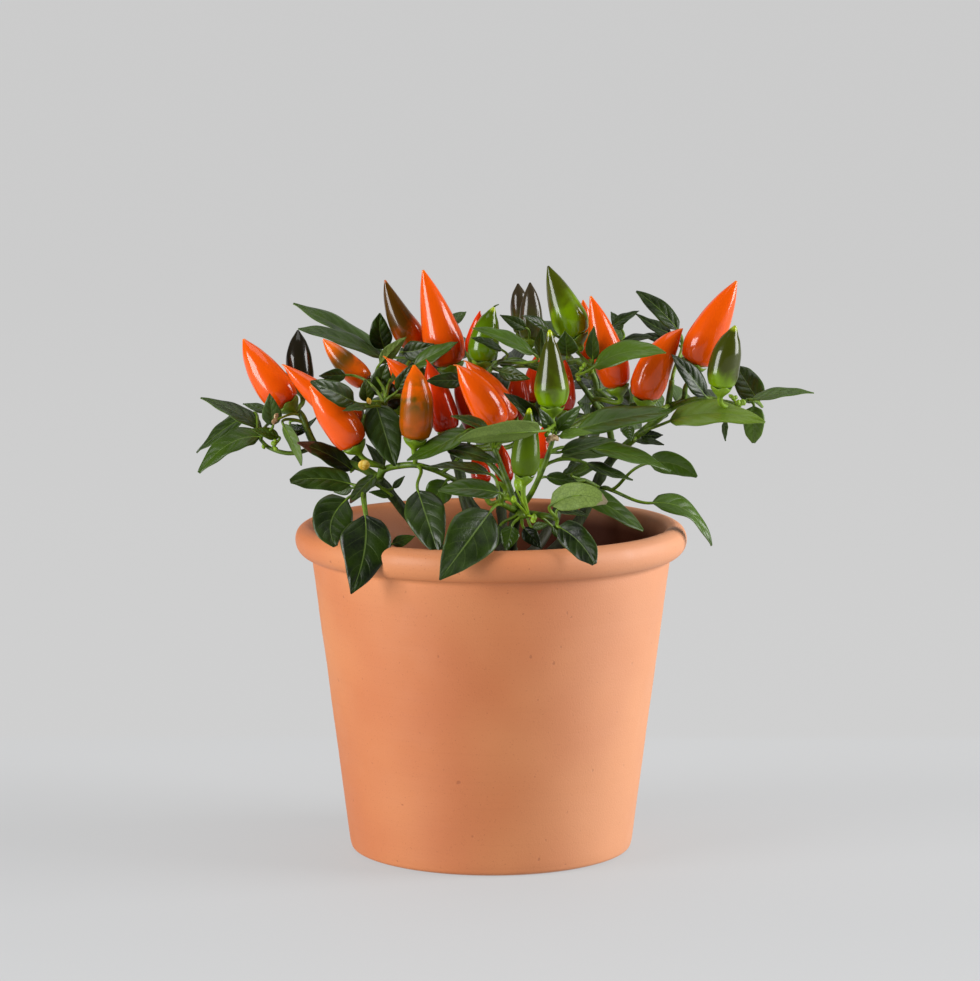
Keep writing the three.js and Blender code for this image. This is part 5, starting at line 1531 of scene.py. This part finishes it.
@dataclass(frozen=True)
class PepperSkin:
    """Glossy skin that changes from a lower to an upper colour, with a patch and a tip.

    Places along the pepper are shares of its length, from the calyx up. The first fact is how
    marked the nub at its tip is.
    """

    lower: Colour
    upper: Colour
    border: float
    soft: float
    tip: Colour | None = None
    patch: Colour | None = None
    patch_at: float = 0.56
    patch_reach: float = 0.3
    coat: float = 0.66
    nub: Colour = tint("A4B414")
    coat_roughness: float = 0.1
    cloud_scale: float = 90.0
    cloud_reach: float = 0.18
    tip_from: Band = (0.84, 0.97)
    nub_from: Band = (0.79, 0.88)
    fleck_scale: float = 900.0
    fleck_share: float = 0.12
    ripple_scales: tuple[float, float, float] = (90.0, 90.0, 480.0)
    relief: float = 0.00022

    def material(self, name: str) -> Material:
        """Make the material.

        Args:
            name: Its name.

        Returns:
            The material.
        """
        g = Graph(name, 0.3, 0.08)
        g.feed("Coat Weight", self.coat)
        g.feed("Coat Roughness", self.coat_roughness)
        along = g.map()[1]
        cloud = g.noise(self.cloud_scale, 3, distortion=0.4)
        at = g.plus(along, g.rise(cloud, 0.2, 0.8, -self.cloud_reach, self.cloud_reach))
        turned = g.rise(at, self.border - self.soft, self.border + self.soft)
        colour = g.mix(turned, self.lower, self.upper)
        if self.patch:
            near = g.math("ABSOLUTE", g.less(along, self.patch_at))
            shade = g.times(g.fall(near, 0.0, self.patch_reach), g.rise(cloud, 0.32, 0.52))
            colour = g.mix(shade, colour, self.patch)
        if self.tip:
            colour = g.mix(g.rise(along, *self.tip_from), colour, self.tip)
        colour = g.mix(g.times(g.rise(along, *self.nub_from), g.facts()[0]), colour, self.nub)
        flecks = g.rise(g.noise(self.fleck_scale, 2), 0.6, 0.8, 0.0, self.fleck_share)
        colour = g.mix(flecks, colour, self.upper)
        ripple = g.noise(1, 2, self.ripple_scales)
        g.bump(g.line(g.noise(260, 2), 0.4, ripple), self.relief, 0.4)
        return g.paint(colour)


SKINS = {
    Tone.ORANGE: PepperSkin(tint("C43800"), tint("E05202"), 0.22, 0.3, tip=tint("E4721C")),
    Tone.AMBER: PepperSkin(tint("7A4200"), tint("DC5A02"), 0.4, 0.22, tip=tint("E46A10"),
                           patch=tint("3C4004"), coat=0.4),
    Tone.RED: PepperSkin(tint("A21A00"), tint("D03402"), 0.4, 0.4),
    Tone.BROWN: PepperSkin(tint("BE4400"), tint("4A2E02"), 0.28, 0.2, tip=tint("C0601C")),
    Tone.GREEN: PepperSkin(tint("4E6C00"), tint("3E5000"), 0.6, 0.3),
    Tone.DARK_GREEN: PepperSkin(tint("6C8E00"), tint("383E08"), 0.28, 0.2, tip=tint("3A3E0C")),
    Tone.PALE_GREEN: PepperSkin(tint("4A600A"), tint("36480A"), 0.5, 0.4, tip=tint("8A9418"),
                                coat=0.2),
    Tone.OLIVE: PepperSkin(tint("4C5A10"), tint("383020"), 0.3, 0.3),
    Tone.BLACK: PepperSkin(tint("2A2612"), tint("1C180E"), 0.3, 0.3),
}

# Peppers with a skin of their own, by their index: one spotted, one half green.
OWN_SKINS = {
    4: PepperSkin(tint("DC5804"), tint("E06408"), 0.35, 0.3, tip=tint("E06A1C"),
                  patch=tint("5E3E0C"), patch_at=0.52, patch_reach=0.22),
    18: PepperSkin(tint("6E9000"), tint("3E4604"), 0.46, 0.24, tip=tint("3A3A0C")),
}


@dataclass
class Pot:
    """Terracotta pot: tapered wall, rounded foot, rolled lip, drain holes. Lengths are in mm."""

    sides: int = 224
    foot_steps: int = 12
    wall_rows: int = 60
    lip_steps: int = 64
    heel_steps: int = 4
    floor_rows: int = 16
    middle: float = 0.5
    holes: int = 3
    hole_sides: int = 40
    hole_radius: float = 4.0
    hole_circle: float = 28.0
    wobble: float = 0.12
    ring_height: float = 0.035
    full_uneven: float = 50.0
    slow: Grain = field(default_factory=lambda: Grain(11, 30.0))
    fine: Grain = field(default_factory=lambda: Grain(5, 4.0))

    def profile(self) -> Array:
        """The wall's profile: smooth curves at foot and lip, straight lines between.

        Returns:
            Points (radius, height), (n, 2).
        """
        wall = np.array(POT_WALL, dtype=float)
        flat = np.pad(wall, ((0, 0), (0, 1)))
        rows = (
            np.linspace((self.middle, 0), wall[1], self.floor_rows)[:-1],
            through(flat[1:4], self.foot_steps)[:-1, :2],
            np.linspace(wall[3], wall[4], self.wall_rows)[:-1],
            through(flat[4:13], self.lip_steps)[:-1, :2],
            np.linspace(wall[12], wall[13], self.wall_rows)[:-1],
            through(flat[13:15], self.heel_steps)[:-1, :2],
            np.linspace(wall[14], (self.middle, wall[14, 1]), self.floor_rows),
        )
        return np.concatenate(rows)

    def rings(self) -> Array:
        """The wall's rings, with a radius made uneven by a slow wobble and fine rings.

        Fine rings follow the height and 0.3 of the radius. Both fade at the foot and the axis.

        Returns:
            Rings, (m, sides, 3).
        """
        radius, height = self.profile().T[:, :, None]
        lines = np.stack((height * 0 + 0.3 * radius, radius * 0, height), -1)
        share = np.clip(radius / self.full_uneven, 0, 1) * smooth(1.0, 6.0, height)
        slow = self.slow.at(spun(radius, height, self.sides))
        uneven = self.wobble * slow + self.ring_height * self.fine.at(lines)
        return spun(radius + uneven * share, height, self.sides)

    def drill(self) -> Solid:
        """Upright posts that are cut out of the pot's bottom.

        Returns:
            The posts, as one object that isn't linked to the scene.
        """
        weave = Weave()
        for index in range(self.holes):
            turn = 2 * np.pi * (index + 0.25) / self.holes
            foot = self.hole_circle * np.array((math.cos(turn), math.sin(turn), 0.0))
            path = foot + np.linspace(-1, POT_WALL[-1][1] + 1, 4)[:, None] * UP
            weave.skin(hoops(path, np.full(4, self.hole_radius), self.hole_sides))
        return weave.loose("drill")

    def build(self) -> None:
        """Make the pot, drill it and put it in the CAD pot's place."""
        weave = Weave()
        weave.skin(self.rings())
        body, posts = weave.loose("fired_pot"), self.drill()
        scene = bpy.context.scene.collection
        for item in (body, posts):
            scene.objects.link(item)
        cut = body.modifiers.new("drain_holes", "BOOLEAN")
        cut.operation, cut.solver, cut.object = "DIFFERENCE", "EXACT", posts
        shape = body.evaluated_get(bpy.context.evaluated_depsgraph_get())
        mesh = bpy.data.meshes.new_from_object(shape)
        for item in (body, posts):
            bpy.data.objects.remove(item)
        mesh.materials.clear()
        mesh.materials.append(Clay().material())
        mount(bpy.data.objects.new("terracotta_pot", mesh), "terracotta", "pot")


@dataclass(frozen=True)
class Lumps:
    """Small uneven balls of few faces: how many, their radii in mm, and the seed of their draw."""

    count: int
    radius: Band
    seed: int
    rows: int = 4
    sides: int = 6
    end: float = 0.25
    stretch: Band = (0.7, 1.2)
    dent: Band = (0.82, 1.12)
    raised: float = 0.3


@dataclass
class Potting:
    """Potting mix: a crumbly surface with loose crumbs and pale grains. Lengths are in mm."""

    top: float = 113.0
    bottom: float = 8.3
    gap: float = 0.3
    edge: Band = (58.0, 69.5)
    edge_drop: float = 1.4
    rows: int = 56
    sides: int = 168
    relief: float = 1.1
    waves: tuple[tuple[int, float, float], ...] = (
        (21, 30.0, 0.55), (22, 9.0, 0.35), (23, 4.0, 0.2),
    )
    calm: Band = (60.0, 69.0)
    calmed: float = 0.6
    strewn: float = 67.0
    trunk_across: float = 6.0
    trunk_clear: float = 6.0
    crumbs: Lumps = Lumps(420, (0.6, 2.0), 31)
    grains: Lumps = Lumps(46, (0.7, 1.6), 32)

    def surface(self, points: Array) -> Array:
        """Lift of the surface: waves of 30, 9 and 4 mm that are lower near the wall.

        Args:
            points: Points of the smooth surface, (..., 3).

        Returns:
            How far each is lifted.
        """
        lift = sum(share * Grain(seed, length).at(points) for seed, length, share in self.waves)
        radius = np.hypot(points[..., 0], points[..., 1])
        return self.relief * lift * (1 - self.calmed * smooth(*self.calm, radius))

    def level(self, radius: Array) -> Array:
        """Height of the smooth surface, which drops towards the wall."""
        return self.top - self.edge_drop * smooth(*self.edge, radius)

    def wall_at(self, height: float) -> float:
        """Radius of the soil at a height: the pot's inner wall less the gap."""
        (top_radius, top), (foot_radius, foot) = POT_WALL[-4], POT_WALL[-3]
        return foot_radius + (top_radius - foot_radius) * (height - foot) / (top - foot) - self.gap

    def body(self) -> Array:
        """The soil's underside, its wall, and its top from the wall to the middle.

        Returns:
            Rings, (m, sides, 3).
        """
        foot, edge = POT_WALL[-3][1] + self.gap, self.top - 2
        lower = np.array(((1, self.bottom), (POT_WALL[-2][0] - 1, self.bottom),
                          (self.wall_at(foot) - self.gap, foot), (self.wall_at(edge), edge)))
        radii = np.linspace(self.wall_at(edge) - 0.4, 0.5, self.rows)
        radius = np.concatenate((lower[:, 0], radii))[:, None]
        height = np.concatenate((lower[:, 1], self.level(radii)))[:, None]
        points = spun(radius, height, self.sides)
        points[len(lower):, :, 2] += self.surface(points[len(lower):])
        return points

    def strew(self, weave: Weave, lumps: Lumps) -> None:
        """Strew lumps over the soil, but not on the trunk.

        Each is a ball that is stretched, dented and sunk until its middle stands a share of its
        radius above the soil.

        Args:
            weave: Where they are added.
            lumps: The lumps.
        """
        draw = np.random.default_rng(lumps.seed)
        rise = np.linspace(lumps.end, np.pi - lumps.end, lumps.rows)[:, None]
        ball = spun(np.sin(rise), -np.cos(rise), lumps.sides)
        for _ in range(lumps.count):
            radius = self.strewn * math.sqrt(draw.uniform())
            angle = draw.uniform(0, 2 * np.pi)
            middle = np.array((radius * math.cos(angle), radius * math.sin(angle), 0.0))
            scale = draw.uniform(*lumps.radius) * draw.uniform(*lumps.stretch, 3)
            dents = draw.uniform(*lumps.dent, ball.shape[:2] + (1,))
            middle[2] = self.level(np.array(radius)) + self.surface(middle)
            middle[2] += scale[2] * lumps.raised
            if math.hypot(middle[0] - self.trunk_across, middle[1]) > self.trunk_clear:
                weave.skin(middle + ball * scale * dents)

    def build(self) -> None:
        """Make the soil with its crumbs, and the pale grains."""
        soil, grit = Weave(), Weave()
        soil.skin(self.body())
        self.strew(soil, self.crumbs)
        soil.piece("potting_mix", [SOIL.material()], "soil", "soil")
        self.strew(grit, self.grains)
        grit.piece("mineral_grains", [GRIT.material()], "soil", "soil")


@dataclass
class Stem:
    """Trunk and limbs, with slight swellings at regular nodes. Lengths are in mm."""

    sides: int = 14
    per_place: int = 7
    swelling: float = 0.22
    node_length: float = 26.0
    node_reach: float = 2.2
    node_shift: float = 9.0
    flare: float = 0.5
    flare_from: float = 122.0
    flare_to: float = 112.0
    grain_length: float = 7.0

    def build(self) -> None:
        """Make the trunk, which flares into the soil, and the limbs.

        A limb's radius is multiplied by 1 + swelling times exp(-(d / node_reach)^2), with d its
        distance from the nearest node.
        """
        weave = Weave()
        for index, limb in enumerate(LIMBS):
            path = through(EYE.place(limb.line), self.per_place * len(limb.line))
            gone = np.concatenate(((0,), np.cumsum(np.linalg.norm(np.diff(path, axis=0), axis=1))))
            gone = gone + self.node_shift * index
            node = np.abs(gone % self.node_length - self.node_length / 2)
            swollen = 1 + self.swelling * np.exp(-(node / self.node_reach)**2)
            radii = np.linspace(*limb.radius, len(path)) * swollen
            if index == 0:
                radii *= 1 + self.flare * smooth(self.flare_from, self.flare_to, path[:, 2])
            weave.skin(woody(path, radii, self.sides, Grain(40 + index, self.grain_length)))
        weave.piece("branching_stem", [Bark().material()], "stem", "stem")


@dataclass
class Foliage:
    """Leafy sprays: twigs, leaves with their stalks, pedicels and calyxes.

    Lengths are in mm. quilt, edge_height and droop are shares of a blade's width or half width.
    """

    layout: Layout
    leaf_rows: int = 30
    leaf_columns: int = 13
    thickness: float = 0.42
    thinned: float = 0.45
    spread: float = 1.03
    least_half: float = 0.3
    row_power: float = 0.9
    quilt: float = 0.0110
    vein_reach: float = 0.16
    groove: float = 0.3
    groove_reach: float = 0.55
    groove_face: float = 0.6
    groove_back: float = 1.2
    groove_half: float = 2.0
    droop: float = 0.1
    edge_waves: Band = (1.6, 3.0)
    edge_height: Band = (0.012, 0.035)
    edge_shift: float = 1.4
    twist: Band = (-0.16, 0.16)
    light: Band = (0.1, 0.6)
    dry_bow: float = 0.08
    dry_edge: float = 8.0
    stalk_radii: Band = (0.85, 0.62)
    rib_radii: Band = (0.5, 0.2)
    rib_share: Band = (0.04, 0.55)
    rib_depth: float = 0.28
    bud_stalk: Band = (0.65, 0.45)
    bud_length: float = 1.45
    bud_spread: float = 0.38
    round_sides: int = 8
    twig_sides: int = 10
    twig_grain: float = 6.0
    calyx_sides: int = 25
    teeth: int = 5
    tooth: float = 0.55
    calyx_ribs: float = 0.05

    def nearest(self, lines: list[Array], target: Array) -> tuple[Array, Array]:
        """Nearest point of some twigs to a target, preferring points below it.

        Args:
            lines: Fine points of each twig.
            target: The point that is to be reached.

        Returns:
            The twig's point and its way there.
        """
        points = np.concatenate(lines)
        ways = np.concatenate([runs(line) for line in lines])
        cost = np.linalg.norm(points - target, axis=1) + np.maximum(0, points[:, 2] - target[2])
        best = int(np.argmin(cost))
        return points[best], ways[best]

    def shoot(self, lines: list[Array], near: Array, foot: Array, way: Array | None,
              steps: int) -> Array:
        """Curve that leaves a twig halfway between the twig's way and its own.

        Args:
            lines: Fine points of the twigs that it may leave from.
            near: The point that it leaves its twig near to.
            foot: Where it ends.
            way: How it arrives there, or straight on if None.
            steps: Number of equal shares.

        Returns:
            Points on the curve, (steps + 1, 3).
        """
        start, run = self.nearest(lines, near)
        straight = unit(foot - start)
        return arc(start, unit(straight + run), foot, straight if way is None else way, steps)

    def vein_share(self, t: Array, side: Array) -> Array:
        """How near the blade is to a side vein, in line with the veins of the leaf's skin.

        Args:
            t: Share along the blade.
            side: Share across it, -1 to 1.

        Returns:
            0 between veins to 1 on one.
        """
        along = t - VEINS.sweep * np.abs(side)**VEINS.bend
        phase = along * VEINS.count + VEINS.stagger * (side > 0)
        return bell(np.abs(phase % 1.0 - 0.5), 0.0, self.vein_reach)

    def lift(self, size: float, half: Array, t: Array, side: Array,
             draw: np.random.Generator) -> Array:
        """How far a blade's middle surface stands off its plane.

        It is half times sin fold times (sqrt(side^2 + 0.02) - 0.14), less a droop by |side|^3, plus
        a wave along each edge, a twist, and fields puffed up between the veins.

        Args:
            size: The blade's width.
            half: Half width at each row.
            t: Share along the blade at each row.
            side: Share across it, -1 to 1, at each column.
            draw: Draws the waves and the twist.

        Returns:
            The lift in mm, (rows, columns).
        """
        out = np.abs(side)
        waves, phase = draw.uniform(*self.edge_waves), draw.uniform(0, 2 * np.pi)
        height, twist = draw.uniform(*self.edge_height) * size, draw.uniform(*self.twist)
        shift = phase + self.edge_shift * (side > 0)
        lift = half * math.sin(BLADE_FOLD) * (np.sqrt(side**2 + 0.02) - 0.14)
        lift = lift - self.droop * half * out**3
        lift = lift + height * out**2 * np.sin(2 * np.pi * waves * t + shift)
        lift = lift + twist * (t - 0.3) * side * half
        return lift + self.quilt * size * 4 * out * (1 - out) * (1 - self.vein_share(t, side))

    def blade(self, weave: Weave, blade: Blade, mark: Mark | None,
              draw: np.random.Generator) -> None:
        """Add a blade: a thin skin that goes across its face and back along its underside.

        It is thinner towards its rim. A groove runs along the midrib on both faces.

        Args:
            weave: Where it is added.
            blade: The blade.
            mark: What sets its face apart, if anything does.
            draw: Draws its unevenness.
        """
        t = np.linspace(0, 1, self.leaf_rows)[:, None] ** self.row_power
        top = np.linspace(1, -1, self.leaf_columns)
        side = np.concatenate((top, top[::-1]))[None]
        face = np.repeat((1.0, -1.0), self.leaf_columns)[None]
        out = np.abs(side)
        outline = eased(outline_of(BLADE_OUTLINE, blade.row.full), t)
        half = np.maximum(self.least_half, outline * blade.width * self.spread / 2)
        ways = blade.spine.ways(t[:, 0])
        up = square(blade.normal, ways)
        across = np.cross(up, ways)
        lift = self.lift(blade.width, half, t, side, draw)
        middle = np.exp(-((side * half / self.groove_reach) ** 2))
        cut = self.groove * middle
        ridge = np.where(face > 0, -self.groove_face * cut, -cut * (self.groove_back - t))
        thick = face * self.thickness / 2 * (1 - self.thinned * out**2)
        lift = lift + ridge * np.clip(half / self.groove_half, 0.2, 1.0) + thick
        points = (blade.spine.points(t[:, 0])[:, None]
                  + (side * half * math.cos(BLADE_FOLD))[..., None] * across[:, None]
                  + lift[..., None] * up[:, None])
        facts = np.zeros(points.shape)
        facts[..., 0] = draw.uniform(*self.light)
        facts[..., 1] = face < 0
        if mark:
            facts[..., 0] = mark.light
            dry = (t - mark.dry_from + self.dry_bow * out) * self.dry_edge
            facts[..., 2] = np.clip(dry, 0, 1)
        around = np.append((side[0] + 1) / 2, 1.0)
        weave.skin(points, Finish.LEAF.value, facts, around, t[:, 0])

    def stalk(self, weave: Weave, blade: Blade, lines: list[Array]) -> None:
        """Add a leaf's stalk, which runs on as a ridge under the midrib.

        Args:
            weave: Where it is added.
            blade: The leaf's blade.
            lines: Fine points of the twigs that it may leave from.
        """
        base, way = blade.spine.base, blade.spine.ways(np.array(0.0))
        near = EYE.place(blade.row.start) if blade.row.start else base
        bow = self.shoot(lines, near, base, way, 12)
        share = np.linspace(*self.rib_share, 8)
        sunk = self.rib_depth * square(blade.normal, blade.spine.ways(share))
        path = np.concatenate((bow, blade.spine.points(share) - sunk))
        radii = np.concatenate((np.linspace(*self.stalk_radii, len(bow)),
                                np.linspace(*self.rib_radii, len(share))))
        radii = radii * (0.75 + 0.25 * min(1.0, blade.width / 12))
        weave.skin(hoops(path, radii, self.round_sides), Finish.SHOOT.value, fact(0.45))

    def pedicel(self, weave: Weave, row: Pepper, lines: list[Array]) -> None:
        """Add a pepper's pedicel and the calyx that cups its shoulder.

        The cup's rim is scalloped into teeth: its height varies as cos(teeth times angle).

        Args:
            weave: Where it is added.
            row: The pepper.
            lines: Fine points of the twigs that it may leave from.
        """
        axis = self.layout.axes[row]
        way = axis.ways(np.array(0.0))
        foot = axis.base - way * CALYX_HEIGHT
        path = self.shoot(lines, foot, foot, way, 16)
        radii = PEDICEL_RADIUS * (1.0 + 0.12 * np.linspace(-1, 1, len(path))**3)
        rim = CALYX_RATIO * row.width / 2
        rise, share = np.array(CALYX_OUTLINE).T[:, :, None]
        whole = np.concatenate((path, foot + rise * way))
        wave = np.cos(self.teeth * turns(self.calyx_sides))
        ribs = 1 + self.calyx_ribs * wave * smooth(0.3, 2.5, rise)
        flare = np.maximum(share * rim, PEDICEL_RADIUS) * ribs
        girth = np.concatenate((np.repeat(radii[:, None], self.calyx_sides, axis=1), flare))
        rings = hoops(whole, girth, self.calyx_sides)
        teeth = self.tooth * wave * smooth(2.5, 4.6, rise)
        rings[len(path):] += teeth[..., None] * way
        weave.skin(rings, Finish.SHOOT.value, fact(0.62))

    def buds(self, weave: Weave, row: Bud, lines: list[Array],
             draw: np.random.Generator) -> None:
        """Add a stalk that ends in a few buds, each an egg that looks about upwards.

        Args:
            weave: Where they are added.
            row: The buds.
            lines: Fine points of the twigs that they may leave from.
            draw: Draws where each sits and looks.
        """
        at = EYE.place(row.at)
        path = self.shoot(lines, EYE.place(row.root) if row.root else at, at, None, 8)
        lead = 2 * unit(at - path[0]) if row.root else UP
        stalk = hoops(path, np.linspace(*self.bud_stalk, len(path)), self.round_sides)
        weave.skin(stalk, Finish.SHOOT.value, fact(0.8))
        share = (1 - np.cos(np.linspace(0, np.pi, 11))) / 2
        girth = row.size / 2 * np.maximum(np.sin(np.pi * share)**0.8, 0.05)
        for _ in range(row.count):
            way = unit(0.5 * draw.normal(size=3) + lead - 0.4 * FRONT * draw.uniform())
            middle = at + self.bud_spread * row.size * draw.normal(size=3) * (row.count > 1)
            axis = middle + (share[:, None] - 0.5) * self.bud_length * row.size * way
            weave.skin(hoops(axis, girth, 12), row.finish.value, fact(0.9))

    def build(self) -> None:
        """Make every spray, one piece each, in the place of its solid."""
        finishes = [skin.material() for skin in (LeafSkin(), Shoot(), PETAL, WITHERED)]
        for index, (name, spray) in enumerate(SPRAYS.items()):
            draw = np.random.default_rng(100 + index)
            weave = Weave()
            fine = [through(EYE.place(twig.line), FINE_STEPS) for twig in spray.twigs]
            marks = MARKS.get(name, {})
            for number, row in enumerate(spray.leaves):
                self.blade(weave, self.layout.blades[row], marks.get(number), draw)
                self.stalk(weave, self.layout.blades[row], fine)
            for bud in (bud for bud in BUDS if bud.on == name):
                self.buds(weave, bud, fine, draw)
            for row in (pepper for pepper in PEPPERS if pepper.on == name):
                self.pedicel(weave, row, fine)
            grain = Grain(60 + index, self.twig_grain)
            for twig, line in zip(spray.twigs, fine):
                radii = np.linspace(*twig.radius, len(line))
                rings = woody(line, radii, self.twig_sides, grain)
                weave.skin(rings, Finish.SHOOT.value, fact(0.3))
            weave.piece(f"spray_of_leaves_{name}", finishes, "leaf", f"spray_{name}")


@dataclass
class Crop:
    """The peppers, each a smooth cone with soft lobes and a small point. Lengths are in mm."""

    layout: Layout
    rows: int = 40
    sides: int = 32
    lobes: float = 0.016
    pinch: float = 0.12
    pinch_at: float = 0.86
    pinch_reach: float = 0.05
    knob: float = 1.1
    knob_at: float = 0.94
    knob_reach: float = 0.06
    style_from: float = 0.985
    style_radii: Band = (0.5, 0.2)
    style_rows: int = 7
    style_sides: int = 8

    def rings(self, row: Pepper, nub: float, draw: np.random.Generator) -> Array:
        """A pepper's rings.

        The radius follows the fruit's outline, times 1 + lobes of one, two and three waves around
        that turn along the fruit. A nub is pinched off by a bell-shaped waist.

        Args:
            row: The pepper.
            nub: How marked its nub is, 0 for none.
            draw: Draws its lobes.

        Returns:
            Rings, (rows, sides, 3).
        """
        t = (1 - np.cos(np.linspace(0, np.pi, self.rows))) / 2
        path = self.layout.axes[row].points(t)
        radius = np.maximum(eased(outline_of(FRUIT_OUTLINE, row.full), t), 0.02) * row.width / 2
        if nub:
            radius *= 1 - self.pinch * nub * bell(t, self.pinch_at, self.pinch_reach)
            off = (t - self.knob_at) / self.knob_reach
            radius = np.maximum(radius, self.knob * nub * np.sqrt(np.clip(1 - off**2, 0, 1)))
        turn, down = turns(self.sides), t[:, None]
        first, second, third = draw.uniform(0, 2 * np.pi, 3)
        uneven = (np.sin(2 * turn + first + 2 * down) + 0.7 * np.sin(3 * turn + second)
                  + 0.5 * np.sin(turn + third + 9 * down))
        swell = 1 + self.lobes * uneven * np.sin(np.pi * down)
        return hoops(path, radius[:, None] * swell, self.sides)

    def style(self, weave: Weave, row: Pepper, length: float, lean: float) -> None:
        """Add the thin style that is left at a pepper's tip.

        Args:
            weave: Where it is added.
            row: The pepper.
            length: How long it is.
            lean: How far it leans sideways.
        """
        axis = self.layout.axes[row]
        way = axis.ways(np.array(1.0))
        side = np.cross(way, square(EYE.towards(axis.base), way))
        share = np.linspace(0, 1, self.style_rows)[:, None]
        start = axis.points(np.array(self.style_from))
        path = start + length * share * way + lean * share**2 * side
        rings = hoops(path, np.linspace(*self.style_radii, self.style_rows), self.style_sides)
        weave.skin(rings, 0, None, None, np.full(self.style_rows, 0.99))

    def build(self) -> None:
        """Make every pepper in the place of its solid."""
        skins = {tone: skin.material(tone.value) for tone, skin in SKINS.items()}
        own = {index: skin.material(f"skin_{index + 1:02d}") for index, skin in OWN_SKINS.items()}
        for index, row in enumerate(PEPPERS):
            weave = Weave()
            nub = NUBS.get(index, 0.0)
            weave.skin(self.rings(row, nub, np.random.default_rng(200 + index)), 0, fact(nub))
            if index in STYLES:
                self.style(weave, row, *STYLES[index])
            number = f"{index + 1:02d}"
            weave.piece(f"chilli_{number}", [own.get(index, skins[row.tone])], row.tone.value,
                        f"pepper_{number}")


@dataclass(frozen=True)
class Lamp:
    """A rectangular light: where it stands and what it faces, in metres, its size and its watts."""

    name: str
    at: Place
    aim: Place
    size: Band
    power: float


@dataclass
class Studio:
    """Plain pale floor, soft light from both sides, and the camera at the eye.

    Depths and sizes are in metres.
    """

    lamps: tuple[Lamp, ...] = (
        Lamp("left_light", (-1.5, -0.9, 0.5), (0.0, 0.0, 0.15), (0.95, 1.0), 38.0),
        Lamp("right_light", (1.5, -0.15, 0.6), (0.0, 0.0, 0.15), (0.95, 1.0), 38.0),
        Lamp("wall_light", (0.0, 2.2, 1.3), (0.0, 0.0, 0.15), (4.0, 1.6), 9.0),
        Lamp("top_light", (0.0, 0.1, 2.2), (0.0, 0.0, 0.1), (1.8, 1.8), 19.0),
    )
    air: float = 0.04
    half_floor: float = 60.0
    line_at: float = 0.24
    line_soft: float = 0.01
    near_tone: Colour = tint("66686A")
    near_glow: Band = (0.77, 0.8)
    near_depths: Band = (0.08, 0.2)
    front_glow: float = 0.04
    front_depths: Band = (-0.3, -0.12)
    far_tone: Colour = tint("202020")
    far_glow: Colour = tint("CBCBCB")
    film: float = 36.0

    def floor(self) -> None:
        """A wide floor that turns a shade lighter behind the plant.

        Its glow has a strength near + far times (1 - near), with far rising from 0 to 1 at the
        line behind the plant.
        """
        g = Graph("pale_floor", 0.7, 0.1)
        depth = g.split(g.here())[1]
        far = g.rise(depth, self.line_at - self.line_soft, self.line_at + self.line_soft)
        near = g.plus(g.rise(depth, *self.near_depths, *self.near_glow),
                      g.rise(depth, *self.front_depths, self.front_glow, 0.0))
        g.feed("Emission Strength", g.line(far, g.less(1.0, near), near))
        g.feed("Emission Color", self.far_glow)
        material = g.paint(g.mix(far, self.near_tone, self.far_tone))
        span = self.half_floor
        mesh = bpy.data.meshes.new("floor")
        corners = [(-span, -span, 0.0), (span, -span, 0.0), (span, span, 0.0), (-span, span, 0.0)]
        mesh.from_pydata(corners, [], [(0, 1, 2, 3)])
        mesh.materials.append(material)
        floor = bpy.data.objects.new("floor", mesh)
        bpy.context.scene.collection.objects.link(floor)

    def light(self, lamp: Lamp) -> None:
        """Hang a lamp.

        Args:
            lamp: The lamp.
        """
        light = bpy.data.lights.new(lamp.name, "AREA")
        light.shape, light.energy = "RECTANGLE", lamp.power
        light.size, light.size_y = lamp.size
        box = bpy.data.objects.new(lamp.name, light)
        ways = unit(np.array(lamp.at) - np.array(lamp.aim))
        side = unit(np.cross(UP, ways))
        matrix = np.eye(4)
        matrix[:3, :3] = np.stack((side, np.cross(ways, side), ways), axis=1)
        matrix[:3, 3] = lamp.at
        box.matrix_world = matrix.T
        bpy.context.scene.collection.objects.link(box)

    def camera(self) -> None:
        """The camera, where the eye is."""
        lens = bpy.data.cameras.new("view")
        width = EYE.sheet[0]
        lens.sensor_fit, lens.sensor_width = "HORIZONTAL", self.film
        lens.lens = EYE.focal / width * lens.sensor_width
        lens.shift_x = -(EYE.across - width / 2) / width
        lens.shift_y = (EYE.down - EYE.sheet[1] / 2) / width
        camera = bpy.data.objects.new("view", lens)
        camera.location = (0.0, -EYE.distance * MM, EYE.height * MM)
        camera.rotation_euler = (math.pi / 2 - EYE.pitch, 0.0, 0.0)
        bpy.context.scene.collection.objects.link(camera)
        bpy.context.scene.camera = camera

    def build(self) -> None:
        """Set the studio up."""
        self.camera()
        self.floor()
        for lamp in self.lamps:
            self.light(lamp)
        world = bpy.data.worlds.new("studio_air")
        bpy.context.scene.world = world
        world.use_nodes = True
        air = world.node_tree.nodes["Background"]
        air.inputs["Color"].default_value = (1.0, 1.0, 1.0, 1.0)
        air.inputs["Strength"].default_value = self.air
        bpy.context.scene.view_settings.view_transform = "Standard"


def main() -> None:
    """Build the plant in its pot and set up the studio."""
    logging.basicConfig(level=logging.INFO, format="%(message)s")
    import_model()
    Studio().build()
    layout = Layout()
    Pot().build()
    Potting().build()
    Stem().build()
    Foliage(layout).build()
    Crop(layout).build()


if __name__ == "__main__":
    main()
